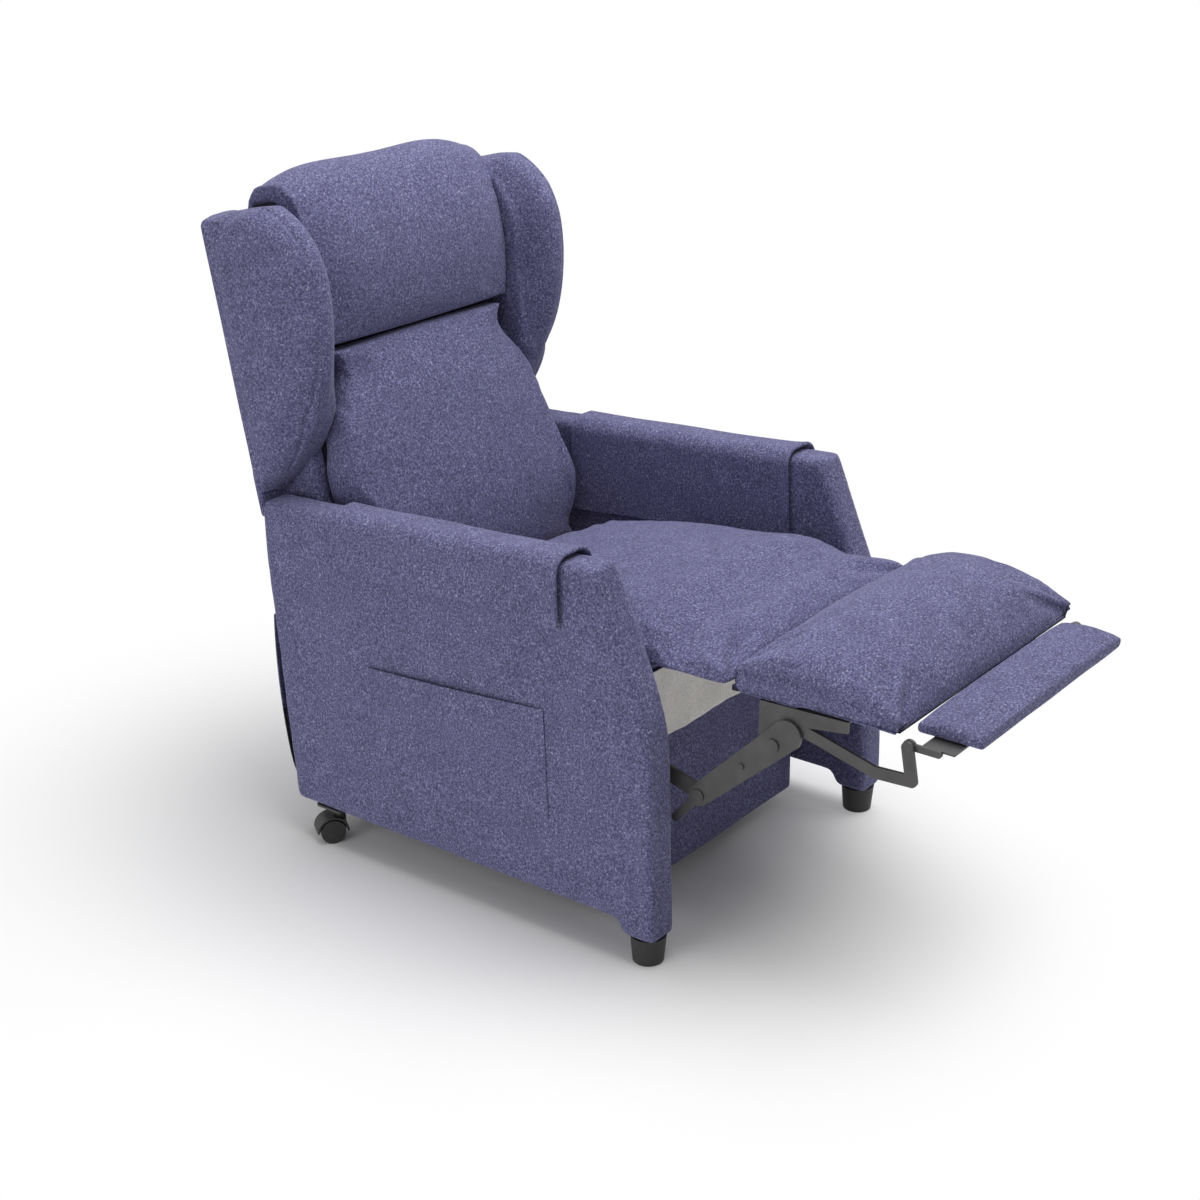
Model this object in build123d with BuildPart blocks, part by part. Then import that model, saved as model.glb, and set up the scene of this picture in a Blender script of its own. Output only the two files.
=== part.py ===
"""Lift recliner: a wing-backed armchair whose back, leg rest and lift base are powered.

Millimetres, +Z up. The chair faces -Y and stands with its leg rest out and its back upright.
The origin lies on the floor below the middle of the chair. Points given as pairs are (Y, Z).
"""

import math
import os

from build123d import *

# Arms
BODY_WIDTH = 684
ARM_THICKNESS = 64
ARM_PADDING = 12
ARM_BOTTOM = 68
ARM_TOP_REAR = 586
ARM_TOP_FRONT = 622
ARM_REAR_LOW = 519
ARM_REAR_TOP = 560
ARM_NOSE = -104
ARM_FRONT_LOW = -214
ARM_EDGE_RADIUS = 9
KNEE_TOP = (-178, 452)
KNEE_MIDDLE = (-197, 393)
KNEE_LOW = (-205, 330)
BLOCK_BOTTOM = 45
BLOCK_BACK = -158
BLOCK_BEVEL = 12
ARM_TIMBER = 40
CAP_REAR = 408
CAP_LENGTH = 456
CAP_THICKNESS = 7
CAP_OUTER_DROP = 92
CAP_INNER_DROP = 160
CAP_ROUNDING = 18
POCKET_CORNERS = ((340, 359), (-17, 384), (-26, 200), (300, 145))
POCKET_GAP = 6
POCKET_CLOTH = 2.5
POCKET_SEAM = 5
FOOT_TOP_RADIUS = 28
FOOT_BOTTOM_RADIUS = 24
FOOT_ROUNDING = 3

# Castors under the rear of the arms
CASTOR_Y = 452
CASTOR_TURN = 35
CASTOR_TRAIL = 14
CASTOR_PLATE = 54
CASTOR_PLATE_THICKNESS = 4
CASTOR_STEM_RADIUS = 5
CASTOR_NECK_RADIUS = 10
CASTOR_WEB = 8
WHEEL_RADIUS = 21
WHEEL_WIDTH = 13
AXLE_RADIUS = 4
HOOD_GAP = 3
HOOD_THICKNESS = 3

# Seat
RAIL_THICKNESS = 8
RAIL_LOW = 300
RAIL_TOP = 372
RAIL_FRONT = -72
RAIL_REAR = 446
CROSS_TUBE = 30
CROSS_TUBE_WALL = 2.5
CROSS_TUBE_CENTRE = 355
CROSS_FRONT_Y = 115
CROSS_REAR_Y = 365
END_PLATE = 60
END_PLATE_THICKNESS = 4
BOLT_RADIUS = 4
BOLT_SPREAD = 23
BOLT_HEAD_RADIUS = 7
BOLT_HEAD = 5
BOLT_GRIP = 34
DECK_THICKNESS = 12
DECK_REAR = 390
FRONT_RAIL_FRONT = -148
FRONT_RAIL_THICKNESS = 25
FRONT_RAIL_LOW = 330
SEAT_LIP = 15
SEAT_LIP_LOW = 462
SEAT_REAR = 352
SEAT_EDGE_TOP = 476
SEAT_CROWN = 24
SEAT_SIDE_GAP = 8
APRON_FRONT = -84
APRON_THICKNESS = 18
APRON_BOTTOM = 28
APRON_TOP = 290
APRON_ROUNDING = 3
LINING_THICKNESS = 2
LINING_TOP = 447
STRUT_X = 150
STRUT_THICKNESS = 5
STRUT_LOW = 215
STRUT_HEIGHT = 50
CONTROL_BOX = (110, 120, 42)
CONTROL_BOX_Y = 240
SOCKET_RADIUS = 6
SOCKET_DEPTH = 8
SOCKET_SPACING = 36
REAR_RAIL_FRONT = 514
REAR_RAIL_LOW = 336
REAR_RAIL_HEIGHT = 26
CLOTH_TOP = 388
CLOTH_BOTTOM = 103
CLOTH_THICKNESS = 3
CLOTH_FOLDS = 6
CLOTH_FOLD_DEPTH = 10

# Back, in its own leaning frame: up the back and forward from its pivot
BACK_PIVOT = (420, 330)
BACK_TILT = 12
BACK_INSET = 44
BACK_BOTTOM = 165
BACK_TOP = 735
BACK_REAR = -90
BACK_FACE = -28
REAR_PANEL = 12
BACK_BOARD = 18
RIB_THICKNESS = 24
RIB_FOOT = 15
RIB_KNEE = 60
RIB_HEEL = 270
BACK_TUBE_RADIUS = 12.5
BACK_LEVER = 90
BACK_SWING = 32
LUMBAR_BOTTOM = 62
HEAD_SEAM = 495
LUMBAR_DEPTH = 106
LUMBAR_CROWN = 14
LUMBAR_SIDE_GAP = 16
LUMBAR_SHOULDER = 10
PILLOW_DEPTH = 74
PILLOW_RISE = 52
PILLOW_REAR_DROP = 38
PILLOW_SKIN = 6
WING_BOTTOM = 285
WING_TOP = 737
WING_DEPTH = 195
CHEEK_RISE = 39

# Leg rest
BRIDGE_PIVOT = (-165, 456)
BRIDGE_REAR = -167
GROOVE_Y = -290
LEG_PAD_FRONT = -568
BOARD_REAR = -172
BOARD_FRONT = -562
BOARD_REAR_TOP = 461
BOARD_FRONT_TOP = 474
BOARD_THICKNESS = 8
BRIDGE_THICKNESS = 30
BRIDGE_CROWN = 9
LEG_PAD_THICKNESS = 58
LEG_PAD_CROWN = 14
LEG_PAD_SIDE_GAP = 6
FLAP_REAR = -570
FLAP_LENGTH = 99
FLAP_INSET = 53
FLAP_LOW = 457
FLAP_THICKNESS = 20
FLAP_CROWN = 5
HINGE_RADIUS = 4
HINGE_PIN_RADIUS = 2
HINGE_LEAF = 2
HINGE_LEAF_WIDTH = 24
HINGE_LEAF_LOW = 350
HINGE_LENGTH = 420
HINGE_KNUCKLES = 7
LINK_THICKNESS = 5
LINK_WIDTH = 26
SIDE_PLAY = 7
PLANE_GAP = 1
LEG_LINK_PIVOT = (-40, 340)
LEG_KNEE = (-245, 280)
PLATE_PIVOT = (-370, 398)
PLATE_TOP = (-392, 419)
PLATE_TOP_RADIUS = 23
PLATE_LOW_RADIUS = 17
PLATE_TAIL = (-205, 232)
PLATE_TAIL_WIDTH = 14
PLATE_RIVET = (-318, 349)
PIN_RADIUS = 5
PIN_HEAD_RADIUS = 10
PIN_HEAD = 2.5
FLAP_ARM = ((-398, 434), (-440, 424), (-530, 401), (-587, 404))
FLAP_ARM_WIDTH = 18
FLAP_PIVOT = (-578, 452)
FLAP_FOOT = (-622, 452)
BRACKET_REAR = -342
BRACKET_FRONT = -486
BRACKET_WEB = 17
FLANGE_WIDTH = 30
FLANGE_THICKNESS = 3
LEG_TUBE_RADIUS = 10
LEG_CRANK = 28
LEG_CRANK_ANGLE = 222
LEG_EYE_DROP = 3.75

# Lift base
BASE_HALF = 190
BASE_TUBE = 30
BASE_TUBE_WALL = 2
BASE_FRONT = -20
BASE_REAR = 485
PAD_HEIGHT = 6
PAD_RADIUS = 18
PAD_INSET = 30
LIFT_FRONT_PIVOT = (40, 57)
LIFT_LINK_LENGTH = 300
LIFT_LINK_ANGLE = 15
LIFT_SWING = 50
LIFT_LEAN = 20
LIFT_REAR_TOP = (470, 160)
LIFT_LINK_THICKNESS = 6
LIFT_EAR = 5
LIFT_LINK_RADIUS = 14
LIFT_CRANK = 60
LIFT_CRANK_ANGLE = 40
LIFT_PIN_RADIUS = 6
LIFT_TUBE_RADIUS = 10
LIFT_ANCHOR = (455, 64)

# Actuators
ROD_RADIUS = 9
GUIDE_RADIUS = 18
LUG_RADIUS = 12
LUG_THICKNESS = 14
GEARBOX_START = 16
GEARBOX_LENGTH = 60
GEARBOX_DEPTH = 48
GEARBOX_WIDTH = 44
GEARBOX_OFFSET = 9
GEARBOX_ROUNDING = 5
MOTOR_RADIUS = 19
MOTOR_LENGTH = 62
EYE_THICKNESS = 16
EYE_WALL = 5
FORK_THICKNESS = 5
RECLINE_X = -95
RECLINE_ANCHOR = (115, 262)
LEG_DRIVE_X = 95
LEG_DRIVE_ANCHOR = (400, 300)
LIFT_NOSE = 46
RECLINE_NOSE = 96
LEG_DRIVE_NOSE = 92

# Clearances
RUN = 0.06
SEAT_GAP = 0.3
BOLT_PLAY = 0.2
OPEN_PIVOT = 1.8
OPEN_EYE = 4.5
OPEN_LEG_EYE = 6

# Sizes that follow
ARM_OUT = BODY_WIDTH / 2
ARM_IN = ARM_OUT - ARM_THICKNESS
ARM_MIDDLE = (ARM_IN + ARM_OUT) / 2
FOOT_Y = (ARM_FRONT_LOW + BLOCK_BACK) / 2
PLATE_IN = ARM_IN - SIDE_PLAY - LINK_THICKNESS
BRACKET_IN = PLATE_IN - PLANE_GAP - LINK_THICKNESS
FLAP_BRACKET_IN = BRACKET_IN - PLANE_GAP - LINK_THICKNESS
RAIL_OUT = BRACKET_IN - 2 * PLANE_GAP
RAIL_IN = RAIL_OUT - RAIL_THICKNESS
INNER_HALF = RAIL_OUT - PLANE_GAP
APRON_BACK = APRON_FRONT + APRON_THICKNESS
DECK_TOP = RAIL_TOP + DECK_THICKNESS
SEAT_FRONT = FRONT_RAIL_FRONT + SEAT_GAP
BACK_HALF = ARM_IN - BACK_INSET
LUMBAR_LOW_HALF = ARM_IN - LUMBAR_SIDE_GAP
FLAP_HALF = ARM_IN - FLAP_INSET
WING_ROOT = BACK_HALF + SEAT_GAP
BASE_TOP = PAD_HEIGHT + BASE_TUBE
BASE_MIDDLE = PAD_HEIGHT + BASE_TUBE / 2
EAR_IN = BASE_HALF - LIFT_EAR / 2
EAR_OUT = BASE_HALF + LIFT_EAR / 2
FRONT_LINK_IN = EAR_OUT + PLANE_GAP
FRONT_LINK_OUT = FRONT_LINK_IN + LIFT_LINK_THICKNESS
REAR_LINK_OUT = EAR_IN - PLANE_GAP
REAR_LINK_IN = REAR_LINK_OUT - LIFT_LINK_THICKNESS
FORK_IN = ROD_RADIUS + PLANE_GAP + SEAT_GAP


def polar(start, length, angle):
    """Point at a distance and an angle, in degrees from +Y towards +Z, from a (Y, Z) point."""
    turn = math.radians(angle)
    return (start[0] + length * math.cos(turn), start[1] + length * math.sin(turn))


def turned(point, centre, angle):
    """A (Y, Z) point turned about a centre; positive angles take the chair's front down."""
    turn = math.radians(angle)
    y = point[0] - centre[0]
    z = point[1] - centre[1]
    across = y * math.cos(turn) - z * math.sin(turn)
    rise = y * math.sin(turn) + z * math.cos(turn)
    return (centre[0] + across, centre[1] + rise)


def circle_centre(first, second, third):
    """Centre of the circle through three (Y, Z) points."""
    a, b = (second[0] - first[0], second[1] - first[1]), (third[0] - first[0], third[1] - first[1])
    square_a = (a[0] ** 2 + a[1] ** 2) / 2
    square_b = (b[0] ** 2 + b[1] ** 2) / 2
    area = a[0] * b[1] - a[1] * b[0]
    across = (square_a * b[1] - square_b * a[1]) / area
    rise = (a[0] * square_b - b[0] * square_a) / area
    return (first[0] + across, first[1] + rise)


def lifted(point, share):
    """Where a point of the chair goes when the lift has made a share of its swing."""
    top = polar(LIFT_FRONT_PIVOT, LIFT_LINK_LENGTH, LIFT_LINK_ANGLE + LIFT_SWING * share)
    moved = (point[0] + top[0] - LIFT_FRONT_TOP[0], point[1] + top[1] - LIFT_FRONT_TOP[1])
    return turned(moved, top, LIFT_LEAN * share)


def half_way(anchor, first, second):
    """Half-way place of an eye whose actuator swings and runs out evenly between two places."""
    reach = (math.dist(anchor, first) + math.dist(anchor, second)) / 2
    turns = []
    for end in (first, second):
        turns.append(math.degrees(math.atan2(end[1] - anchor[1], end[0] - anchor[0])) % 360)
    turns[1] += 360 * round((turns[0] - turns[1]) / 360)
    return polar(anchor, reach, sum(turns) / 2)


def eye_place(anchor, pin, centre, swing):
    """Resting centre of a rod's eye, set off so that its pin strays equally far to both sides."""
    middle = turned(pin, centre, swing / 2)
    even = half_way(anchor, pin, turned(pin, centre, swing))
    return (pin[0] + (middle[0] - even[0]) / 2, pin[1] + (middle[1] - even[1]) / 2)


LIFT_FRONT_TOP = polar(LIFT_FRONT_PIVOT, LIFT_LINK_LENGTH, LIFT_LINK_ANGLE)
LIFT_REAR_PIVOT = circle_centre(*(lifted(LIFT_REAR_TOP, share) for share in (0, 0.5, 1)))
LIFT_KNOB = polar(LIFT_FRONT_PIVOT, LIFT_CRANK, LIFT_CRANK_ANGLE)
LEG_KNOB = polar(LEG_LINK_PIVOT, LEG_CRANK, LEG_CRANK_ANGLE)
LEG_EYE = (LEG_KNOB[0], LEG_KNOB[1] - LEG_EYE_DROP)
BACK_KNOB = (BACK_PIVOT[0] + BACK_LEVER * math.sin(math.radians(BACK_TILT) / 2), BACK_PIVOT[1] - BACK_LEVER)
LIFT_EYE = eye_place(LIFT_ANCHOR, LIFT_KNOB, LIFT_FRONT_PIVOT, LIFT_SWING)
BACK_EYE = eye_place(RECLINE_ANCHOR, BACK_KNOB, BACK_PIVOT, -BACK_SWING)


def save(piece, name):
    """Label a finished piece and write it to its own file."""
    piece.part.label = name
    export_step(piece.part, f"parts/{name}.step")


def strip(points, width):
    """Round-ended bar along a chain of points, added to the sketch in hand."""
    for start, end in zip(points, points[1:]):
        run = Vector(*end) - Vector(*start)
        with Locations((Vector(*start) + Vector(*end)) / 2):
            SlotCenterToCenter(run.length, width, rotation=math.degrees(math.atan2(run.Y, run.X)))


def board_top(y):
    """Height of the leg-rest board's top face."""
    share = (y - BOARD_REAR) / (BOARD_FRONT - BOARD_REAR)
    return BOARD_REAR_TOP + share * (BOARD_FRONT_TOP - BOARD_REAR_TOP)


def back_plane(x):
    """Side plane of the leaning back at X: first axis up the back, second axis forward."""
    lean = math.radians(BACK_TILT)
    return Plane((x, *BACK_PIVOT), x_dir=(0, math.sin(lean), math.cos(lean)), z_dir=(1, 0, 0))


def back_level(height):
    """Plane across the leaning back: first axis +X, second axis rearward."""
    lean = math.radians(BACK_TILT)
    up = Vector(0, math.sin(lean), math.cos(lean))
    return Plane(Vector(0, *BACK_PIVOT) + up * height, x_dir=(1, 0, 0), z_dir=up)


def pad_outline(half, low, high, crown, bulge):
    """Closed outline of a stuffed pad: flat base, bulging sides and a crowned top."""
    middle = (low + high) / 2
    with BuildSketch() as outline:
        with BuildLine():
            Line((-half + bulge, low), (half - bulge, low))
            ThreePointArc((half - bulge, low), (half, middle), (half - bulge, high))
            ThreePointArc((half - bulge, high), (0, high + crown), (-half + bulge, high))
            ThreePointArc((-half + bulge, high), (-half, middle), (-half + bulge, low))
        make_face()
    return outline.sketch


# Arms


def arm_outline():
    """Side outline of an arm."""
    with BuildSketch() as outline:
        with BuildLine():
            Polyline(
                KNEE_LOW,
                (ARM_FRONT_LOW, BLOCK_BOTTOM),
                (BLOCK_BACK, BLOCK_BOTTOM),
                (BLOCK_BACK + BLOCK_BEVEL, ARM_BOTTOM),
                (ARM_REAR_LOW, ARM_BOTTOM),
                (ARM_REAR_TOP, ARM_TOP_REAR),
                (ARM_NOSE, ARM_TOP_FRONT),
                KNEE_TOP,
            )
            ThreePointArc(KNEE_TOP, KNEE_MIDDLE, KNEE_LOW)
        make_face()
    return outline.sketch


def bolt_points():
    """Places of the bolts that hold the arms to the cross tubes."""
    return [
        (tube + shift, CROSS_TUBE_CENTRE)
        for tube in (CROSS_FRONT_Y, CROSS_REAR_Y)
        for shift in (-BOLT_SPREAD, BOLT_SPREAD)
    ]


def arm_cover(side):
    """Wadded cover of an arm, open below where it is closed over the frame."""
    slot_front = BLOCK_BACK + BLOCK_BEVEL + 2 * ARM_PADDING
    slot_rear = CASTOR_Y - CASTOR_PLATE / 2 - ARM_PADDING
    with BuildPart() as cover:
        with BuildSketch(Plane.YZ.offset(side * ARM_IN)):
            add(arm_outline())
        extrude(amount=side * ARM_THICKNESS)
        rims = cover.edges().filter_by(Axis.X, reverse=True)
        fillet(rims.filter_by(lambda edge: edge.center().Z > ARM_BOTTOM + ARM_THICKNESS), ARM_EDGE_RADIUS)
        with BuildSketch(Plane.YZ.offset(side * (ARM_IN + ARM_PADDING))):
            add(arm_outline())
            offset(amount=-ARM_PADDING, mode=Mode.REPLACE)
            with Locations(((slot_front + slot_rear) / 2, ARM_BOTTOM + ARM_PADDING / 2)):
                Rectangle(slot_rear - slot_front, 2 * ARM_PADDING)
        extrude(amount=side * (ARM_THICKNESS - 2 * ARM_PADDING), mode=Mode.SUBTRACT)
        with BuildSketch(Plane.YZ.offset(side * ARM_IN)):
            with Locations(*bolt_points()):
                Circle(BOLT_RADIUS + BOLT_PLAY)
        extrude(amount=side * ARM_PADDING, mode=Mode.SUBTRACT)
    return cover


def arm_frame(side):
    """Timber frame inside an arm, with a rail that takes the bolts."""
    rail_rear = ARM_REAR_LOW - ARM_PADDING
    rail_front = KNEE_MIDDLE[0] + ARM_PADDING + ARM_TIMBER / 2
    with BuildPart() as frame:
        with BuildSketch(Plane.YZ.offset(side * (ARM_IN + ARM_PADDING))):
            add(arm_outline())
            offset(amount=-ARM_PADDING, mode=Mode.REPLACE)
            offset(amount=-ARM_TIMBER, mode=Mode.SUBTRACT)
            with Locations(((rail_front + rail_rear) / 2, CROSS_TUBE_CENTRE)):
                Rectangle(rail_rear - rail_front, END_PLATE)
            with Locations(*bolt_points()):
                Circle(BOLT_RADIUS + BOLT_PLAY, mode=Mode.SUBTRACT)
        extrude(amount=side * (ARM_THICKNESS - 2 * ARM_PADDING))
    return frame


def arm_cap(side):
    """Loose padded cloth over the top of an arm."""
    rise = Vector(0, ARM_NOSE - ARM_REAR_TOP, ARM_TOP_FRONT - ARM_TOP_REAR).normalized()
    start = Vector(side * ARM_MIDDLE, ARM_REAR_TOP, ARM_TOP_REAR)
    start += rise * ((ARM_REAR_TOP - CAP_REAR) / -rise.Y)
    inner = side * (ARM_THICKNESS / 2 + SEAT_GAP)
    outer = side * (ARM_THICKNESS / 2 + SEAT_GAP + CAP_THICKNESS)
    with BuildPart() as cap:
        with BuildSketch(Plane(start, x_dir=(1, 0, 0), z_dir=rise)) as saddle:
            with BuildLine():
                Polyline(
                    (outer, -CAP_OUTER_DROP),
                    (outer, SEAT_GAP + CAP_THICKNESS),
                    (-outer, SEAT_GAP + CAP_THICKNESS),
                    (-outer, -CAP_INNER_DROP),
                    (-inner, -CAP_INNER_DROP),
                    (-inner, SEAT_GAP),
                    (inner, SEAT_GAP),
                    (inner, -CAP_OUTER_DROP),
                    close=True,
                )
            make_face()
            fillet(saddle.vertices().group_by(Axis.Y)[-1], CAP_ROUNDING)
        extrude(amount=CAP_LENGTH)
    return cap


def side_pocket():
    """Flat pocket sewn on the outside of the right arm, open along its top."""
    rear_top, front_top, front_low, rear_low = POCKET_CORNERS
    with BuildPart() as pocket:
        with BuildSketch(Plane.YZ.offset(-ARM_OUT)):
            Polygon(*POCKET_CORNERS, align=None)
        extrude(amount=-(POCKET_GAP + POCKET_CLOTH))
        with BuildSketch(Plane.YZ.offset(-ARM_OUT)):
            Polygon(
                (rear_top[0] - POCKET_SEAM, rear_top[1] + POCKET_SEAM),
                (front_top[0] + POCKET_SEAM, front_top[1] + POCKET_SEAM),
                (front_low[0] + POCKET_SEAM, front_low[1] + POCKET_SEAM),
                (rear_low[0] - POCKET_SEAM, rear_low[1] + POCKET_SEAM),
                align=None,
            )
        extrude(amount=-POCKET_GAP, mode=Mode.SUBTRACT)
    return pocket


def front_feet():
    """Tapered feet under the front blocks of both arms."""
    with BuildPart() as feet:
        with Locations((ARM_MIDDLE, FOOT_Y, BLOCK_BOTTOM / 2), (-ARM_MIDDLE, FOOT_Y, BLOCK_BOTTOM / 2)):
            Cone(FOOT_BOTTOM_RADIUS, FOOT_TOP_RADIUS, BLOCK_BOTTOM)
        fillet(feet.edges().filter_by(GeomType.CIRCLE).group_by(Axis.Z)[0], FOOT_ROUNDING)
    return feet


def arm_bolts():
    """Bolts from the end plates of the cross tubes into the arm frames."""
    head_face = ARM_IN - END_PLATE_THICKNESS
    with BuildPart() as bolts:
        for side in (1, -1):
            with BuildSketch(Plane.YZ.offset(side * head_face)):
                with Locations(*bolt_points()):
                    Circle(BOLT_RADIUS)
            extrude(amount=side * BOLT_GRIP)
            with BuildSketch(Plane.YZ.offset(side * head_face)):
                with Locations(*bolt_points()):
                    RegularPolygon(BOLT_HEAD_RADIUS, 6)
            extrude(amount=-side * BOLT_HEAD)
    return bolts


# Castors


def castor_spot(side):
    """Floor plane of a castor: origin below its stem, first axis along its trail."""
    trail = Vector(side, 0, 0).rotate(Axis.Z, side * CASTOR_TURN)
    return Plane((side * ARM_MIDDLE, CASTOR_Y, 0), x_dir=trail, z_dir=(0, 0, 1))


def castor_side(side):
    """Upright plane through a castor's stem, along its trail."""
    spot = castor_spot(side)
    return Plane(spot.origin, x_dir=spot.x_dir, z_dir=-spot.y_dir)


def castor_plates():
    """Plates that hold the castors' stems under the arms."""
    with BuildPart() as plates:
        for side in (1, -1):
            with BuildSketch(Plane.XY.offset(ARM_BOTTOM - CASTOR_PLATE_THICKNESS)):
                with Locations((side * ARM_MIDDLE, CASTOR_Y)):
                    RectangleRounded(CASTOR_PLATE, CASTOR_PLATE, CASTOR_STEM_RADIUS)
                    Circle(CASTOR_STEM_RADIUS + RUN, mode=Mode.SUBTRACT)
            extrude(amount=CASTOR_PLATE_THICKNESS)
    return plates


def castor_fork(side):
    """Turning body of a castor: stem, neck, web between the wheels, hood and axle."""
    neck_top = ARM_BOTTOM - CASTOR_PLATE_THICKNESS - SEAT_GAP
    hood_in = WHEEL_RADIUS + HOOD_GAP
    hood_half = CASTOR_WEB / 2 + WHEEL_WIDTH + PLANE_GAP
    with BuildPart() as fork:
        with BuildSketch(castor_spot(side).offset(neck_top)):
            Circle(CASTOR_STEM_RADIUS)
        extrude(amount=CASTOR_PLATE_THICKNESS)
        with BuildSketch(castor_spot(side).offset(WHEEL_RADIUS + hood_in)):
            Circle(CASTOR_NECK_RADIUS)
        extrude(amount=neck_top - WHEEL_RADIUS - hood_in)
        with BuildSketch(castor_side(side)):
            with Locations((CASTOR_TRAIL, WHEEL_RADIUS)):
                Circle(hood_in + HOOD_THICKNESS)
                Circle(hood_in, mode=Mode.SUBTRACT)
                with Locations((0, -hood_in)):
                    Rectangle(4 * hood_in, 2 * hood_in, mode=Mode.SUBTRACT)
        extrude(amount=hood_half, both=True)
        with BuildSketch(castor_side(side)):
            with Locations((CASTOR_TRAIL, WHEEL_RADIUS)):
                Circle(2 * AXLE_RADIUS)
            with Locations((CASTOR_TRAIL / 2, WHEEL_RADIUS + hood_in / 2)):
                Rectangle(CASTOR_TRAIL + 2 * CASTOR_NECK_RADIUS, hood_in + HOOD_THICKNESS)
        extrude(amount=CASTOR_WEB / 2, both=True)
        with BuildSketch(castor_side(side)):
            with Locations((CASTOR_TRAIL, WHEEL_RADIUS)):
                Circle(AXLE_RADIUS)
        extrude(amount=CASTOR_WEB / 2 + WHEEL_WIDTH, both=True)
    return fork


def castor_wheels(side):
    """Twin wheels of a castor on one axle."""
    with BuildPart() as wheels:
        for half in (1, -1):
            with BuildSketch(castor_side(side).offset(half * (CASTOR_WEB / 2 + SEAT_GAP))):
                with Locations((CASTOR_TRAIL, WHEEL_RADIUS)):
                    Circle(WHEEL_RADIUS)
                    Circle(AXLE_RADIUS + RUN, mode=Mode.SUBTRACT)
            extrude(amount=half * (WHEEL_WIDTH - SEAT_GAP))
    return wheels


# Seat


def cross_tube(tube_y):
    """Square tube from arm to arm, let in between and outside the seat rails."""
    bore = CROSS_TUBE - 2 * CROSS_TUBE_WALL
    with BuildPart() as tube:
        runs = ((-RAIL_IN, RAIL_IN), (RAIL_OUT, ARM_IN), (-ARM_IN, -RAIL_OUT))
        for start, end in runs:
            with BuildSketch(Plane.YZ.offset(start)):
                with Locations((tube_y, CROSS_TUBE_CENTRE)):
                    Rectangle(CROSS_TUBE, CROSS_TUBE)
                    Rectangle(bore, bore, mode=Mode.SUBTRACT)
            extrude(amount=end - start)
        for side in (1, -1):
            with BuildSketch(Plane.YZ.offset(side * ARM_IN)):
                with Locations((tube_y, CROSS_TUBE_CENTRE)):
                    Rectangle(END_PLATE, END_PLATE)
                    with Locations((-BOLT_SPREAD, 0), (BOLT_SPREAD, 0)):
                        Circle(BOLT_RADIUS + BOLT_PLAY, mode=Mode.SUBTRACT)
            extrude(amount=-side * END_PLATE_THICKNESS)
    return tube


def cross_tube_front():
    """Front cross tube with the struts of the apron and the anchor of the back's actuator."""
    tube_low = CROSS_TUBE_CENTRE - CROSS_TUBE / 2
    middle = (CROSS_FRONT_Y, CROSS_TUBE_CENTRE - CROSS_TUBE / 2 + CROSS_TUBE_WALL)
    with BuildPart() as tube:
        add(cross_tube(CROSS_FRONT_Y).part)
        for side in (1, -1):
            with BuildSketch(Plane.YZ.offset(side * STRUT_X)):
                Polygon(
                    (APRON_BACK, STRUT_LOW),
                    (CROSS_FRONT_Y + CROSS_TUBE / 2, tube_low),
                    (CROSS_FRONT_Y + CROSS_TUBE / 2, tube_low + CROSS_TUBE_WALL),
                    (CROSS_FRONT_Y - CROSS_TUBE / 2, tube_low + CROSS_TUBE_WALL),
                    (APRON_BACK, STRUT_LOW + STRUT_HEIGHT),
                    align=None,
                )
            extrude(amount=side * STRUT_THICKNESS)
        for side in (1, -1):
            with BuildSketch(Plane.YZ.offset(RECLINE_X + side * (LUG_THICKNESS / 2 + PLANE_GAP))):
                strip((middle, RECLINE_ANCHOR), 2 * LUG_RADIUS)
                with Locations((middle[0], CROSS_TUBE_CENTRE)):
                    Rectangle(3 * LUG_RADIUS, CROSS_TUBE - 2 * CROSS_TUBE_WALL, mode=Mode.SUBTRACT)
            extrude(amount=side * FORK_THICKNESS)
        with BuildSketch(Plane.YZ.offset(RECLINE_X)):
            with Locations(RECLINE_ANCHOR):
                Circle(PIN_RADIUS)
        extrude(amount=LUG_THICKNESS / 2 + PLANE_GAP + FORK_THICKNESS, both=True)
    return tube


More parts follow.
